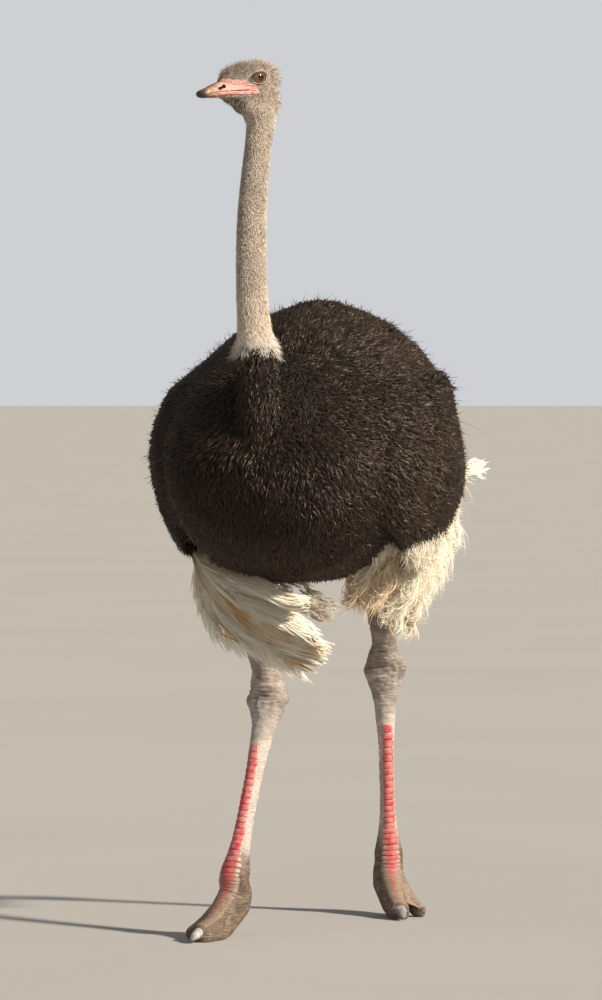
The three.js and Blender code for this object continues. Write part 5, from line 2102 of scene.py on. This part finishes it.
OPERATORS = (
    OSTRICH_OT_studio, OSTRICH_OT_skin, OSTRICH_OT_horn, OSTRICH_OT_eyes, OSTRICH_OT_scutes, OSTRICH_OT_coat,
    OSTRICH_OT_down, OSTRICH_OT_plumes,
)
GROUPS = {"ostrich_sizes": OstrichSizes, "ostrich_colours": OstrichColours, "ostrich_studio": OstrichStudio}


# ---- studio
FLOOR_RADIUS = 2500.0
SKY = (0.88, 0.905, 0.94, 1)
SKY_SEEN = 0.70  # brightness of the plain backdrop over the horizon
SKY_LIGHT = 0.30  # brightness of the soft light that comes from all round
LENS, SENSOR = 210.0, 36.0  # millimetres
HORIZON_UP, AXIS_RIGHT = 0.12, 0.007  # from the frame's middle, as shares of its height


def make_floor(tint):
    floor = bpy.data.objects.new("floor", bpy.data.meshes.new("floor"))
    bpy.context.scene.collection.objects.link(floor)
    form = bmesh.new()
    bmesh.ops.create_circle(form, cap_ends=True, segments=96, radius=FLOOR_RADIUS)
    form.to_mesh(floor.data)
    form.free()
    finish = Finish("studio floor", roughness=0.9)
    finish.set("Base Color", finish.mix(finish.noise(0.6, 2).clamped(0.3, 0.7), shaded(tint, 0.97), tint))
    floor.data.materials.append(finish.material)


def make_lights():
    scene = bpy.context.scene
    scene.view_settings.view_transform = "Standard"
    world = bpy.data.worlds.new("studio air")
    world.use_nodes = True
    tree = world.node_tree
    seen = tree.nodes["Background"]
    lit = tree.nodes.new("ShaderNodeBackground")
    for air, strength in ((seen, SKY_SEEN), (lit, SKY_LIGHT)):
        air.inputs["Color"].default_value = SKY
        air.inputs["Strength"].default_value = strength
    rays, choice = tree.nodes.new("ShaderNodeLightPath"), tree.nodes.new("ShaderNodeMixShader")
    tree.links.new(rays.outputs["Is Camera Ray"], choice.inputs[0])
    tree.links.new(lit.outputs[0], choice.inputs[1])
    tree.links.new(seen.outputs[0], choice.inputs[2])
    tree.links.new(choice.outputs[0], tree.nodes["World Output"].inputs[0])
    scene.world = world
    lights = {
        # from where, strength, softness (degrees), colour
        "key": ((7.1, -1.9, 4.6), 6.1, 5, (1.0, 0.91, 0.79)),
        "fill": ((-1.0, -7.0, 3.0), 0.22, 40, (0.90, 0.95, 1.0)),
    }
    for name, (place, strength, softness, tint) in lights.items():
        lamp = bpy.data.lights.new(name, "SUN")
        lamp.energy, lamp.angle, lamp.color = strength, math.radians(softness), tint
        holder = bpy.data.objects.new(name, lamp)
        holder.location = place
        holder.rotation_euler = (-Vector(place)).to_track_quat("-Z", "Y").to_euler()
        scene.collection.objects.link(holder)


def make_camera(studio):
    """The bird's axis stands a little right of the frame's middle, and the horizon above it."""
    focal = LENS / SENSOR
    away = np.array([math.sin(studio.azimuth), -math.cos(studio.azimuth), 0.0])
    at = SHIFT * [1, 1, 0] + away * studio.distance + UP * studio.height
    pitch, yaw = math.atan(HORIZON_UP / focal), math.atan(AXIS_RIGHT / focal)
    camera = bpy.data.cameras.new("camera")
    camera.lens, camera.sensor_width, camera.sensor_fit = LENS, SENSOR, "AUTO"
    camera.clip_end = 300
    holder = bpy.data.objects.new("camera", camera)
    holder.location = at
    holder.rotation_euler = (math.pi / 2 - pitch, 0, studio.azimuth + yaw)
    bpy.context.scene.collection.objects.link(holder)
    bpy.context.scene.camera = holder


# ---- main
def register():
    for group in GROUPS.values():
        bpy.utils.register_class(group)
    for label, group in GROUPS.items():
        setattr(bpy.types.Scene, label, bpy.props.PointerProperty(type=group))
    for operator in (*OPERATORS, OSTRICH_PT_panel):
        bpy.utils.register_class(operator)


def unregister():
    for operator in reversed((*OPERATORS, OSTRICH_PT_panel)):
        bpy.utils.unregister_class(operator)
    for label, group in GROUPS.items():
        delattr(bpy.types.Scene, label)
        bpy.utils.unregister_class(group)


def main():
    register()
    bpy.ops.ostrich.studio()
    bpy.ops.ostrich.skin()
    bpy.ops.ostrich.horn()
    bpy.ops.ostrich.eyes()
    bpy.ops.ostrich.scutes()
    bpy.ops.ostrich.coat()
    bpy.ops.ostrich.down()
    bpy.ops.ostrich.plumes()


if __name__ == "__main__":
    main()
